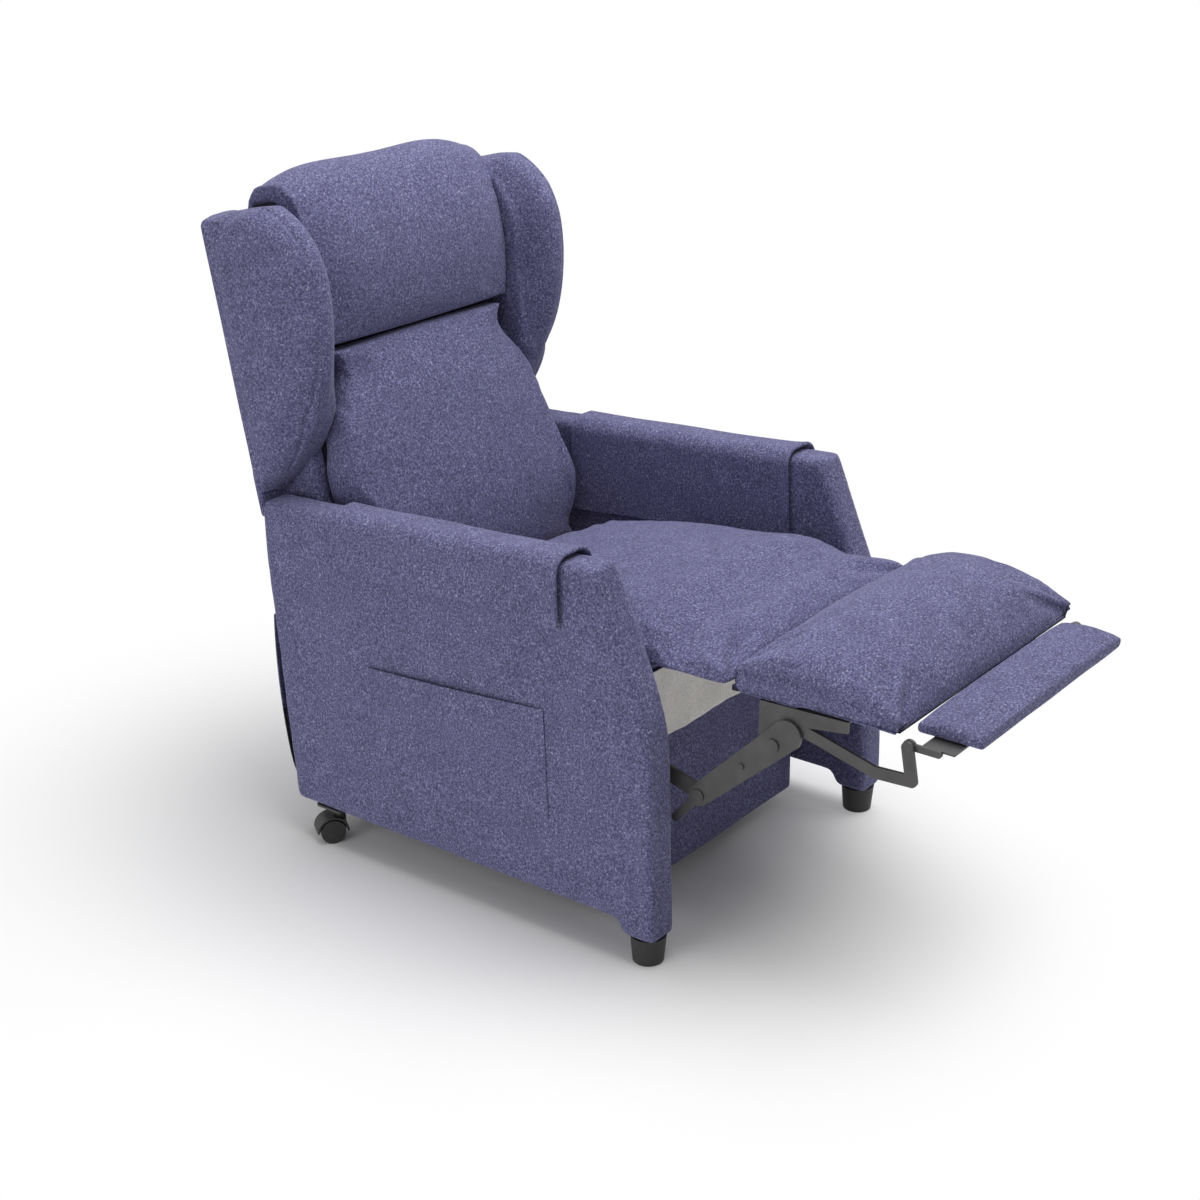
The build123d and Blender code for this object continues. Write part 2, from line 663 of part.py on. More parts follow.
def cross_tube_rear():
    """Rear cross tube with the hangers of the lift links and the anchor of the leg rest's actuator."""
    root = (CROSS_REAR_Y, CROSS_TUBE_CENTRE - CROSS_TUBE / 2 - LIFT_LINK_RADIUS)
    hangers = (
        (LIFT_FRONT_TOP, FRONT_LINK_OUT + PLANE_GAP, FRONT_LINK_IN),
        (LIFT_REAR_TOP, REAR_LINK_IN - PLANE_GAP - LIFT_LINK_THICKNESS, REAR_LINK_OUT),
    )
    with BuildPart() as tube:
        add(cross_tube(CROSS_REAR_Y).part)
        for side in (1, -1):
            for top, inside, pin_end in hangers:
                pin_start = min(inside, pin_end)
                with BuildSketch(Plane.YZ.offset(side * inside)):
                    strip((root, top), 2 * LIFT_LINK_RADIUS)
                    with Locations((root[0], root[1] + LIFT_LINK_RADIUS / 2)):
                        Rectangle(2 * LIFT_LINK_RADIUS, LIFT_LINK_RADIUS)
                extrude(amount=side * LIFT_LINK_THICKNESS)
                with BuildSketch(Plane.YZ.offset(side * pin_start)):
                    with Locations(top):
                        Circle(LIFT_PIN_RADIUS)
                extrude(amount=side * (max(inside + LIFT_LINK_THICKNESS, pin_end) - pin_start))
            with BuildSketch(Plane.YZ.offset(LEG_DRIVE_X + side * (LUG_THICKNESS / 2 + PLANE_GAP))):
                with Locations((CROSS_REAR_Y + (CROSS_TUBE + LUG_RADIUS) / 2, CROSS_TUBE_CENTRE)):
                    Rectangle(LUG_RADIUS, LUG_RADIUS)
                with Locations(LEG_DRIVE_ANCHOR):
                    Circle(LUG_RADIUS)
                make_hull()
            extrude(amount=side * FORK_THICKNESS)
        with BuildSketch(Plane.YZ.offset(LEG_DRIVE_X)):
            with Locations(LEG_DRIVE_ANCHOR):
                Circle(PIN_RADIUS)
        extrude(amount=LUG_THICKNESS / 2 + PLANE_GAP + FORK_THICKNESS, both=True)
    return tube


def seat_rail(side):
    """Steel side rail that carries the seat and the pivots of the back and of the leg rest."""
    with BuildPart() as rail:
        with BuildSketch(Plane.YZ.offset(side * RAIL_IN)):
            with Locations(((RAIL_FRONT + RAIL_REAR) / 2, (RAIL_LOW + RAIL_TOP) / 2)):
                RectangleRounded(RAIL_REAR - RAIL_FRONT, RAIL_TOP - RAIL_LOW, LIFT_LINK_RADIUS)
            with Locations(LEG_LINK_PIVOT):
                Circle(LEG_TUBE_RADIUS + RUN, mode=Mode.SUBTRACT)
            with Locations(BACK_PIVOT):
                Circle(BACK_TUBE_RADIUS + RUN, mode=Mode.SUBTRACT)
        extrude(amount=side * RAIL_THICKNESS)
    return rail


def box_between(low, high):
    """Plain board between two corners."""
    with BuildPart() as board:
        with Locations((Vector(*low) + Vector(*high)) / 2):
            Box(*(Vector(*high) - Vector(*low)))
    return board


def seat_cushion():
    """Seat cushion: flat below, crowned above, with a lip over the hinge of the leg rest."""
    half = ARM_IN - SEAT_SIDE_GAP
    base = DECK_TOP + SEAT_GAP
    length = SEAT_REAR - SEAT_FRONT
    body = (
        (0, 0.44, 0.5),
        (0.1, 0.58, 0.8),
        (0.3, 0.82, 1),
        (0.5, 1.02, 1),
        (0.7, 1.15, 0.95),
        (0.86, 1.19, 0.8),
        (1, 1.12, 0.5),
    )
    lip = ((-2.5 * SEAT_LIP, 1.15, 0.65), (-SEAT_LIP, 1.13, 0.55), (0, 1.12, 0.5), (SEAT_LIP, 1.1, 0.45))
    with BuildPart() as cushion:
        for share, height, fullness in body:
            with BuildSketch(Plane.XZ.offset(share * length - SEAT_REAR)):
                top = base + (SEAT_EDGE_TOP - base) * height
                add(pad_outline(half, base, top, SEAT_CROWN * fullness, ARM_EDGE_RADIUS))
        loft()
        for reach, height, fullness in lip:
            with BuildSketch(Plane.XZ.offset(reach - SEAT_FRONT)):
                top = base + (SEAT_EDGE_TOP - base) * height
                add(pad_outline(half, SEAT_LIP_LOW, top, SEAT_CROWN * fullness, HINGE_RADIUS))
        loft()
    return cushion


def apron():
    """Covered board across the front, hung from the struts."""
    with BuildPart() as board:
        with Locations((0, (APRON_FRONT + APRON_BACK) / 2, (APRON_BOTTOM + APRON_TOP) / 2)):
            Box(2 * INNER_HALF, APRON_THICKNESS, APRON_TOP - APRON_BOTTOM)
        fillet(board.edges().filter_by(Axis.Z).group_by(Axis.Y)[0], APRON_ROUNDING)
    return board


def control_box():
    """Control box under the seat deck, with sockets for the handset and the mains lead."""
    width, depth, height = CONTROL_BOX
    with BuildPart() as box:
        with Locations((0, CONTROL_BOX_Y, RAIL_TOP - height / 2)):
            Box(width, depth, height)
        fillet(box.edges().filter_by(Axis.Z), GEARBOX_ROUNDING)
        with BuildSketch(Plane.XZ.offset(-CONTROL_BOX_Y - depth / 2)):
            with Locations((0, RAIL_TOP - height / 2)):
                with GridLocations(SOCKET_SPACING, 0, 2, 1):
                    Circle(SOCKET_RADIUS)
        extrude(amount=SOCKET_DEPTH, mode=Mode.SUBTRACT)
    return box


def arm_rear(height):
    """Y of the rear face of the arms at a height."""
    share = (height - ARM_BOTTOM) / (ARM_TOP_REAR - ARM_BOTTOM)
    return ARM_REAR_LOW + share * (ARM_REAR_TOP - ARM_REAR_LOW)


def drop_cloth():
    """Cloth hanging behind the chair in soft upright folds, along the rear faces of the arms."""
    width = BODY_WIDTH - 2 * ARM_PADDING
    pitch = width / (2 * CLOTH_FOLDS)
    fall = Vector(0, arm_rear(CLOTH_BOTTOM) - arm_rear(CLOTH_TOP), CLOTH_BOTTOM - CLOTH_TOP)
    clear = SEAT_GAP + (CLOTH_FOLD_DEPTH + CLOTH_THICKNESS) / 2
    top = Vector(0, arm_rear(CLOTH_TOP), CLOTH_TOP) + fall.normalized().rotate(Axis.X, 90) * clear
    with BuildPart() as cloth:
        with BuildSketch(Plane(top, x_dir=(1, 0, 0), z_dir=fall)):
            with BuildLine():
                for edge, direction in ((-CLOTH_THICKNESS / 2, 1), (CLOTH_THICKNESS / 2, -1)):
                    for fold in range(2 * CLOTH_FOLDS):
                        step = fold if direction > 0 else 2 * CLOTH_FOLDS - 1 - fold
                        start = -width / 2 + step * pitch
                        swell = CLOTH_FOLD_DEPTH / 2 * (1 if step % 2 else -1)
                        ends = ((start, edge), (start + pitch, edge))
                        first, last = ends if direction > 0 else ends[::-1]
                        ThreePointArc(first, (start + pitch / 2, edge + swell), last)
                    end = width / 2 * direction
                    Line((end, edge), (end, -edge))
            make_face()
        extrude(amount=fall.length)
    return cloth


# Back


def back_frame():
    """Ribs and board of the back on their pivot tube, with the lever of the back's actuator."""
    with BuildPart() as frame:
        for side in (1, -1):
            with BuildSketch(back_plane(side * BACK_HALF)):
                Polygon(
                    (-RIB_FOOT, -RIB_FOOT),
                    (-RIB_FOOT, RIB_FOOT),
                    (RIB_KNEE, RIB_FOOT),
                    (BACK_BOTTOM, BACK_FACE),
                    (BACK_TOP, BACK_FACE),
                    (BACK_TOP, BACK_REAR + REAR_PANEL),
                    (RIB_HEEL, BACK_REAR + REAR_PANEL),
                    (RIB_FOOT, -RIB_FOOT),
                    align=None,
                )
            extrude(amount=-side * RIB_THICKNESS)
        with BuildSketch(back_plane(0)):
            with Locations(((BACK_BOTTOM + BACK_TOP) / 2, BACK_FACE - BACK_BOARD / 2)):
                Rectangle(BACK_TOP - BACK_BOTTOM, BACK_BOARD)
        extrude(amount=BACK_HALF - RIB_THICKNESS / 2, both=True)
        with BuildSketch(Plane.YZ):
            with Locations(BACK_PIVOT):
                Circle(BACK_TUBE_RADIUS)
        extrude(amount=RAIL_OUT + PLANE_GAP, both=True)
        for side in (1, -1):
            with BuildSketch(Plane.YZ.offset(RECLINE_X + side * FORK_IN)):
                strip((BACK_PIVOT, BACK_KNOB), 2 * LUG_RADIUS)
            extrude(amount=side * FORK_THICKNESS)
        with BuildSketch(Plane.YZ.offset(RECLINE_X)):
            with Locations(BACK_KNOB):
                Circle(PIN_RADIUS)
        extrude(amount=FORK_IN + FORK_THICKNESS, both=True)
    return frame


def back_rear_panel():
    """Covered panel that closes the back behind, with the covered cheeks beside its foot."""
    with BuildPart() as panel:
        with BuildSketch(back_plane(0)):
            with Locations(((BACK_BOTTOM + BACK_TOP) / 2, BACK_REAR + REAR_PANEL / 2)):
                Rectangle(BACK_TOP - BACK_BOTTOM, REAR_PANEL)
        extrude(amount=BACK_HALF, both=True)
        cheek_top = WING_BOTTOM - 2 * PLANE_GAP
        cheek_front = BACK_FACE - SEAT_GAP
        for side in (1, -1):
            with BuildSketch(back_plane(side * (BACK_HALF + SEAT_GAP))):
                Polygon(
                    (BACK_BOTTOM, BACK_REAR),
                    (BACK_BOTTOM, cheek_front),
                    (cheek_top + CHEEK_RISE, cheek_front),
                    (cheek_top, BACK_REAR),
                    align=None,
                )
            extrude(amount=side * (ARM_IN - SEAT_SIDE_GAP - BACK_HALF - SEAT_GAP))
            with BuildSketch(back_plane(side * BACK_HALF)):
                with Locations(((BACK_BOTTOM + cheek_top) / 2, BACK_REAR + REAR_PANEL / 2)):
                    Rectangle(cheek_top - BACK_BOTTOM, REAR_PANEL)
            extrude(amount=side * SEAT_GAP)
    return panel


def lumbar_cushion():
    """Cushion of the back from the seat to the head seam, fullest low down, fitted to the ribs."""
    upper_half = BACK_HALF - 2 * PLANE_GAP
    shoulder = WING_BOTTOM - LUMBAR_SHOULDER
    shape = (
        (LUMBAR_BOTTOM, LUMBAR_LOW_HALF - ARM_EDGE_RADIUS / 2, 0.86, 0.5),
        (BACK_BOTTOM + ARM_EDGE_RADIUS, LUMBAR_LOW_HALF, 1, 1),
        ((BACK_BOTTOM + shoulder) / 2 + ARM_EDGE_RADIUS, (LUMBAR_LOW_HALF + upper_half) / 2, 0.95, 1),
        (shoulder, upper_half, 0.87, 1),
        (0.75 * shoulder + 0.25 * HEAD_SEAM, upper_half, 0.77, 1),
        ((shoulder + HEAD_SEAM) / 2, upper_half, 0.66, 0.9),
        (HEAD_SEAM - PLANE_GAP, upper_half - PLANE_GAP, 0.42, 0.5),
    )
    with BuildPart() as cushion:
        for height, half, depth, fullness in shape:
            with BuildSketch(back_level(height)):
                front = LUMBAR_DEPTH * depth + BACK_FACE
                rear = BACK_FACE - ARM_EDGE_RADIUS
                outline = pad_outline(half, rear, front, LUMBAR_CROWN * fullness, ARM_EDGE_RADIUS)
                add(mirror(outline, Plane.XZ))
        loft()
        with BuildSketch(back_plane(0)):
            Polygon(
                (0, BACK_REAR),
                (0, RIB_FOOT + SEAT_GAP),
                (RIB_KNEE, RIB_FOOT + SEAT_GAP),
                (BACK_BOTTOM, BACK_FACE + SEAT_GAP),
                (BACK_TOP, BACK_FACE + SEAT_GAP),
                (BACK_TOP, BACK_REAR),
                align=None,
            )
        extrude(amount=ARM_OUT, both=True, mode=Mode.SUBTRACT)
        for side in (1, -1):
            with BuildSketch(back_plane(side * (BACK_HALF - PLANE_GAP))):
                with Locations(((WING_BOTTOM + BACK_TOP) / 2, 0)):
                    Rectangle(BACK_TOP - WING_BOTTOM + ARM_EDGE_RADIUS, 2 * LUMBAR_DEPTH)
            extrude(amount=side * ARM_OUT, mode=Mode.SUBTRACT)
    return cushion


def head_pillow():
    """Head pillow above the seam, rolled over the top of the back and down behind it."""
    face = BACK_FACE + SEAT_GAP
    behind = BACK_REAR - SEAT_GAP
    over = BACK_TOP + SEAT_GAP
    half = BACK_HALF - 2 * PLANE_GAP
    with BuildPart() as pillow:
        for share, fullness, lift in (
            (-1, 0.76, 0.56),
            (-0.8, 0.95, 0.9),
            (0, 1, 1),
            (0.8, 0.95, 0.9),
            (1, 0.76, 0.56),
        ):
            depth = PILLOW_DEPTH * fullness
            rise = PILLOW_RISE * lift
            skin = PILLOW_SKIN * fullness
            middle = (HEAD_SEAM + over) / 2
            with BuildSketch(back_plane(share * half)):
                with BuildLine():
                    Polyline((over, face), (HEAD_SEAM, face), (HEAD_SEAM, face + 0.62 * depth))
                    ThreePointArc(
                        (HEAD_SEAM, face + 0.62 * depth),
                        (middle, face + depth),
                        (over, face + 0.72 * depth),
                    )
                    ThreePointArc(
                        (over, face + 0.72 * depth),
                        (over + 0.86 * rise, face + 0.2 * depth),
                        (over + rise, face - 0.25 * depth),
                    )
                    ThreePointArc(
                        (over + rise, face - 0.25 * depth),
                        (over + 0.55 * rise, behind + skin),
                        (over - PILLOW_REAR_DROP, behind - skin),
                    )
                    Polyline(
                        (over - PILLOW_REAR_DROP, behind - skin),
                        (over - PILLOW_REAR_DROP, behind),
                        (over, behind),
                        (over, face),
                    )
                make_face()
        loft()
    return pillow


def wing(side):
    """Side wing of the back: a flat outer cheek with a deep rounded front edge."""
    reach = ARM_OUT - WING_ROOT
    shape = (
        (0, 0.70, 10, 1.3),
        (0.27, 0.94, 3, 1.1),
        (0.45, 1, 0, 1),
        (0.62, 0.985, 1, 1),
        (0.87, 0.88, 4, 1),
        (1, 0.75, 10, 1),
    )
    height = WING_TOP - WING_BOTTOM
    with BuildPart() as cheek:
        for share, depth, inset, chin in shape:
            low = WING_BOTTOM + inset
            high = WING_TOP - inset
            front = BACK_REAR + WING_DEPTH * depth
            lower_front = BACK_REAR + 0.58 * WING_DEPTH * depth * chin
            with BuildSketch(back_plane(side * (WING_ROOT + share * reach))):
                with BuildLine():
                    Line((high, BACK_REAR), (low, BACK_REAR))
                    ThreePointArc(
                        (low, BACK_REAR),
                        (low + 0.09 * height, BACK_REAR + 0.3 * WING_DEPTH * depth * chin),
                        (low + 0.235 * height, lower_front),
                    )
                    ThreePointArc(
                        (low + 0.235 * height, lower_front),
                        (low + 0.5 * height, BACK_REAR + 0.915 * WING_DEPTH * depth),
                        (low + 0.72 * height, front),
                    )
                    ThreePointArc(
                        (low + 0.72 * height, front),
                        (high - 0.11 * height, BACK_REAR + 0.885 * WING_DEPTH * depth),
                        (high, BACK_REAR + 0.6 * WING_DEPTH * depth),
                    )
                    Line((high, BACK_REAR + 0.6 * WING_DEPTH * depth), (high, BACK_REAR))
                make_face()
        loft()
    return cheek


# Leg rest


def knuckles(first):
    """X ranges of every other knuckle of the long hinge between seat and leg rest."""
    step = HINGE_LENGTH / HINGE_KNUCKLES
    starts = (-HINGE_LENGTH / 2 + index * step for index in range(first, HINGE_KNUCKLES, 2))
    return [(start + SEAT_GAP / 2, start + step - SEAT_GAP / 2) for start in starts]


def hinge_leaf_seat():
    """Upright leaf on the front rail of the seat, with its knuckles and the pin of the hinge."""
    y, z = BRIDGE_PIVOT
    tab_top = z - HINGE_RADIUS + HINGE_LEAF
    with BuildPart() as leaf:
        with BuildSketch(Plane.YZ):
            with Locations((FRONT_RAIL_FRONT - HINGE_LEAF / 2, (HINGE_LEAF_LOW + tab_top) / 2)):
                Rectangle(HINGE_LEAF, tab_top - HINGE_LEAF_LOW)
            with Locations(BRIDGE_PIVOT):
                Circle(HINGE_PIN_RADIUS)
        extrude(amount=HINGE_LENGTH / 2, both=True)
        for start, end in knuckles(0):
            with BuildSketch(Plane.YZ.offset(start)):
                with Locations(BRIDGE_PIVOT):
                    Circle(HINGE_RADIUS)
                with Locations(((y + FRONT_RAIL_FRONT) / 2, tab_top - HINGE_LEAF / 2)):
                    Rectangle(FRONT_RAIL_FRONT - y, HINGE_LEAF)
            extrude(amount=end - start)
    return leaf


def hinge_leaf_bridge():
    """Leaf under the board of the leg rest, with its knuckles."""
    y = BRIDGE_PIVOT[0]
    leaf_middle = board_top(BOARD_REAR) - BOARD_THICKNESS - HINGE_LEAF / 2
    with BuildPart() as leaf:
        with BuildSketch(Plane.YZ):
            with Locations((BOARD_REAR - HINGE_LEAF_WIDTH / 2, leaf_middle)):
                Rectangle(HINGE_LEAF_WIDTH, HINGE_LEAF)
        extrude(amount=HINGE_LENGTH / 2, both=True)
        for start, end in knuckles(1):
            with BuildSketch(Plane.YZ.offset(start)):
                with Locations(((y + BOARD_REAR) / 2, leaf_middle)):
                    Rectangle(y - BOARD_REAR, HINGE_LEAF)
                with Locations(BRIDGE_PIVOT):
                    Circle(HINGE_RADIUS)
                    Circle(HINGE_PIN_RADIUS + RUN, mode=Mode.SUBTRACT)
            extrude(amount=end - start)
    return leaf


def leg_board():
    """Board under the leg pad, with a narrower tongue under the bridge pad."""
    tongue = (BOARD_REAR, GROOVE_Y, HINGE_LENGTH / 2)
    panel = (GROOVE_Y, BOARD_FRONT, INNER_HALF)
    with BuildPart() as board:
        for rear, front, half in (tongue, panel):
            with BuildSketch(Plane.YZ):
                Polygon(
                    (rear, board_top(rear)),
                    (front, board_top(front)),
                    (front, board_top(front) - BOARD_THICKNESS),
                    (rear, board_top(rear) - BOARD_THICKNESS),
                    align=None,
                )
            extrude(amount=half, both=True)
    return board


def leg_rest_pad(rear, front, thickness, crown, shape):
    """Stuffed pad on the leg-rest board between two Y places."""
    half = ARM_IN - LEG_PAD_SIDE_GAP
    with BuildPart() as pad:
        for share, height, draw in shape:
            y = rear + share * (front - rear)
            low = board_top(y) + SEAT_GAP
            with BuildSketch(Plane.XZ.offset(-y)):
                add(pad_outline(half - draw, low, low + thickness * height, crown * height, HINGE_RADIUS))
        loft()
    return pad


def ottoman_brackets():
    """Brackets under the leg-rest board: flange, web, flap arm and the pins of plate and flap."""
    top_rear = (BRACKET_REAR, board_top(BRACKET_REAR) - BOARD_THICKNESS)
    top_front = (BRACKET_FRONT, board_top(BRACKET_FRONT) - BOARD_THICKNESS)
    plate_out = PLATE_IN + LINK_THICKNESS
    with BuildPart() as brackets:
        for side in (1, -1):
            with BuildSketch(Plane.YZ.offset(side * BRACKET_IN)):
                Polygon(
                    top_rear,
                    (BRACKET_REAR, PLATE_PIVOT[1]),
                    (PLATE_PIVOT[0], PLATE_PIVOT[1]),
                    FLAP_ARM[0],
                    (BRACKET_FRONT, top_front[1] - BRACKET_WEB),
                    top_front,
                    align=None,
                )
                with Locations(PLATE_PIVOT):
                    Circle(PLATE_LOW_RADIUS)
                strip((*FLAP_ARM, FLAP_PIVOT), FLAP_ARM_WIDTH)
            extrude(amount=side * LINK_THICKNESS)
            with BuildSketch(Plane.YZ.offset(side * (BRACKET_IN + LINK_THICKNESS))):
                Polygon(
                    top_rear,
                    top_front,
                    (top_front[0], top_front[1] - FLANGE_THICKNESS),
                    (top_rear[0], top_rear[1] - FLANGE_THICKNESS),
                    align=None,
                )
            extrude(amount=-side * FLANGE_WIDTH)
            with BuildSketch(Plane.YZ.offset(side * BRACKET_IN)):
                with Locations(PLATE_PIVOT):
                    Circle(PIN_RADIUS)
            extrude(amount=side * (plate_out + SEAT_GAP - BRACKET_IN))
            with BuildSketch(Plane.YZ.offset(side * (plate_out + SEAT_GAP))):
                with Locations(PLATE_PIVOT):
                    Circle(PIN_HEAD_RADIUS)
            extrude(amount=side * PIN_HEAD)
            with BuildSketch(Plane.YZ.offset(side * FLAP_BRACKET_IN)):
                with Locations(FLAP_PIVOT):
                    Circle(PIN_RADIUS)
            extrude(amount=side * (BRACKET_IN - FLAP_BRACKET_IN))
    return brackets


def foot_flap():
    """Narrow padded flap that lengthens the leg rest."""
    with BuildPart() as flap:
        for share, height in ((0, 0.8), (0.2, 1), (0.8, 1), (1, 0.8)):
            with BuildSketch(Plane.XZ.offset(share * FLAP_LENGTH - FLAP_REAR)):
                top = FLAP_LOW + FLAP_THICKNESS * height
                add(pad_outline(FLAP_HALF, FLAP_LOW, top, FLAP_CROWN * height, HINGE_RADIUS))
        loft()
    return flap


def flap_brackets():
    """Brackets from the flap's pivots to its underside."""
    tab_rear = FLAP_REAR - FLAP_LENGTH * 0.25
    tab_front = FLAP_REAR - FLAP_LENGTH * 0.75
    with BuildPart() as brackets:
        for side in (1, -1):
            with BuildSketch(Plane.YZ.offset(side * FLAP_BRACKET_IN)):
                strip((FLAP_PIVOT, FLAP_FOOT), 2 * LINK_THICKNESS)
                with Locations(FLAP_PIVOT):
                    Circle(PIN_RADIUS + LINK_THICKNESS)
                    Circle(PIN_RADIUS + RUN, mode=Mode.SUBTRACT)
            extrude(amount=side * LINK_THICKNESS)
            with BuildSketch(Plane.YZ.offset(side * FLAP_BRACKET_IN)):
                with Locations(((tab_rear + tab_front) / 2, FLAP_LOW - SEAT_GAP - FLANGE_THICKNESS / 2)):
                    Rectangle(tab_rear - tab_front, FLANGE_THICKNESS)
            extrude(amount=-side * 2 * FLANGE_WIDTH)
    return brackets


def leg_link(side):
    """Rear link of the leg rest, with the pin of its knee."""
    plate_out = PLATE_IN + LINK_THICKNESS
    with BuildPart() as link:
        with BuildSketch(Plane.YZ.offset(side * BRACKET_IN)):
            strip((LEG_LINK_PIVOT, LEG_KNEE), LINK_WIDTH)
        extrude(amount=side * LINK_THICKNESS)
        with BuildSketch(Plane.YZ.offset(side * BRACKET_IN)):
            with Locations(LEG_KNEE):
                Circle(PIN_RADIUS)
        extrude(amount=side * (plate_out + SEAT_GAP - BRACKET_IN))
        with BuildSketch(Plane.YZ.offset(side * (plate_out + SEAT_GAP))):
            with Locations(LEG_KNEE):
                Circle(PIN_HEAD_RADIUS)
        extrude(amount=side * PIN_HEAD)
    return link


def leg_tube():
    """Tube that joins the rear links, with the crank of the leg rest's actuator."""
    with BuildPart() as tube:
        with BuildSketch(Plane.YZ):
            with Locations(LEG_LINK_PIVOT):
                Circle(LEG_TUBE_RADIUS)
        extrude(amount=BRACKET_IN, both=True)
        for side in (1, -1):
            with BuildSketch(Plane.YZ.offset(LEG_DRIVE_X + side * FORK_IN)):
                strip((LEG_LINK_PIVOT, LEG_KNOB), 2 * LEG_TUBE_RADIUS)
            extrude(amount=side * FORK_THICKNESS)
        with BuildSketch(Plane.YZ.offset(LEG_DRIVE_X)):
            with Locations(LEG_KNOB):
                Circle(PIN_RADIUS)
        extrude(amount=FORK_IN + FORK_THICKNESS, both=True)
        with BuildSketch(Plane.YZ.offset(LEG_DRIVE_X)):
            with Locations(LEG_LINK_PIVOT):
                Circle(LEG_TUBE_RADIUS)
                Circle(PIN_RADIUS, mode=Mode.SUBTRACT)
        extrude(amount=FORK_IN, both=True, mode=Mode.SUBTRACT)
    return tube


def leg_plates():
    """Wide front plates of the leg linkage, each with its tail and a rivet."""
    with BuildPart() as plates:
        for side in (1, -1):
            with BuildSketch(Plane.YZ.offset(side * PLATE_IN)):
                with Locations(LEG_KNEE):
                    Circle(PLATE_LOW_RADIUS)
                with Locations(PLATE_TOP):
                    Circle(PLATE_TOP_RADIUS)
                make_hull()
                strip((LEG_KNEE, PLATE_TAIL), PLATE_TAIL_WIDTH)
                with Locations(LEG_KNEE):
                    Circle(PIN_RADIUS + OPEN_PIVOT, mode=Mode.SUBTRACT)
                with Locations(PLATE_PIVOT):
                    Circle(PIN_RADIUS + RUN, mode=Mode.SUBTRACT)
            extrude(amount=side * LINK_THICKNESS)
            with BuildSketch(Plane.YZ.offset(side * (PLATE_IN + LINK_THICKNESS))):
                with Locations(PLATE_RIVET):
                    Circle(PIN_HEAD_RADIUS / 2)
            extrude(amount=side * PIN_HEAD)
    return plates


# Lift base


def base_rail(side):
    """Floor rail of the lift base, with the ear and pins of the lift links."""
    with BuildPart() as rail:
        with BuildSketch(Plane.XZ.offset(-BASE_REAR)):
            with Locations((side * BASE_HALF, BASE_MIDDLE)):
                Rectangle(BASE_TUBE, BASE_TUBE)
                Rectangle(BASE_TUBE - 2 * BASE_TUBE_WALL, BASE_TUBE - 2 * BASE_TUBE_WALL, mode=Mode.SUBTRACT)
        extrude(amount=BASE_REAR - BASE_FRONT)
        with BuildSketch(Plane.YZ.offset(side * EAR_IN)):
            with Locations(LIFT_FRONT_PIVOT, LIFT_REAR_PIVOT):
                Circle(LIFT_LINK_RADIUS)
            with Locations(((LIFT_FRONT_PIVOT[0] + LIFT_REAR_PIVOT[0]) / 2, BASE_TOP)):
                Rectangle(3 * BASE_TUBE, BASE_TUBE_WALL)
            make_hull()
            with Locations(((LIFT_FRONT_PIVOT[0] + LIFT_REAR_PIVOT[0]) / 2, BASE_TOP - BASE_TUBE / 2)):
                Rectangle(4 * BASE_TUBE, BASE_TUBE, mode=Mode.SUBTRACT)
        extrude(amount=side * LIFT_EAR)
        with BuildSketch(Plane.YZ.offset(side * EAR_IN)):
            with Locations(LIFT_FRONT_PIVOT):
                Circle(LIFT_PIN_RADIUS)
        extrude(amount=side * (FRONT_LINK_OUT - EAR_IN))
        with BuildSketch(Plane.YZ.offset(side * REAR_LINK_IN)):
            with Locations(LIFT_REAR_PIVOT):
                Circle(LIFT_PIN_RADIUS)
        extrude(amount=side * (EAR_OUT - REAR_LINK_IN))
    return rail


def base_cross(middle_y):
    """Cross tube of the lift base between the floor rails."""
    inner = BASE_HALF - BASE_TUBE / 2
    with BuildPart() as tube:
        with BuildSketch(Plane.YZ.offset(-inner)):
            with Locations((middle_y, BASE_MIDDLE)):
                Rectangle(BASE_TUBE, BASE_TUBE)
                Rectangle(BASE_TUBE - 2 * BASE_TUBE_WALL, BASE_TUBE - 2 * BASE_TUBE_WALL, mode=Mode.SUBTRACT)
        extrude(amount=2 * inner)
    return tube


def base_cross_rear():
    """Rear cross tube of the lift base, with the anchor of the lift actuator."""
    with BuildPart() as tube:
        add(base_cross(LIFT_ANCHOR[0]).part)
        for side in (1, -1):
            with BuildSketch(Plane.YZ.offset(side * (LUG_THICKNESS / 2 + PLANE_GAP))):
                strip(((LIFT_ANCHOR[0], BASE_TOP), LIFT_ANCHOR), 2 * LUG_RADIUS)
                with Locations((LIFT_ANCHOR[0], BASE_TOP - BASE_TUBE / 2)):
                    Rectangle(BASE_TUBE, BASE_TUBE, mode=Mode.SUBTRACT)
            extrude(amount=side * FORK_THICKNESS)
        with BuildSketch(Plane.YZ):
            with Locations(LIFT_ANCHOR):
                Circle(PIN_RADIUS)
        extrude(amount=LUG_THICKNESS / 2 + PLANE_GAP + FORK_THICKNESS, both=True)
    return tube


def floor_pads():
    """Rubber pads under the ends of the floor rails."""
    with BuildPart() as pads:
        for side in (1, -1):
            for y in (BASE_FRONT + PAD_INSET, BASE_REAR - PAD_INSET):
                with Locations((side * BASE_HALF, y, PAD_HEIGHT / 2)):
                    Cylinder(PAD_RADIUS, PAD_HEIGHT)
    return pads


def lift_link_front(side):
    """Front lift link with its crank."""
    with BuildPart() as link:
        with BuildSketch(Plane.YZ.offset(side * FRONT_LINK_IN)):
            with Locations(LIFT_FRONT_PIVOT, LIFT_FRONT_TOP, LIFT_KNOB):
                Circle(LIFT_LINK_RADIUS)
            make_hull()
            with Locations(LIFT_FRONT_PIVOT, LIFT_FRONT_TOP):
                Circle(LIFT_PIN_RADIUS + RUN, mode=Mode.SUBTRACT)
        extrude(amount=side * LIFT_LINK_THICKNESS)
    return link


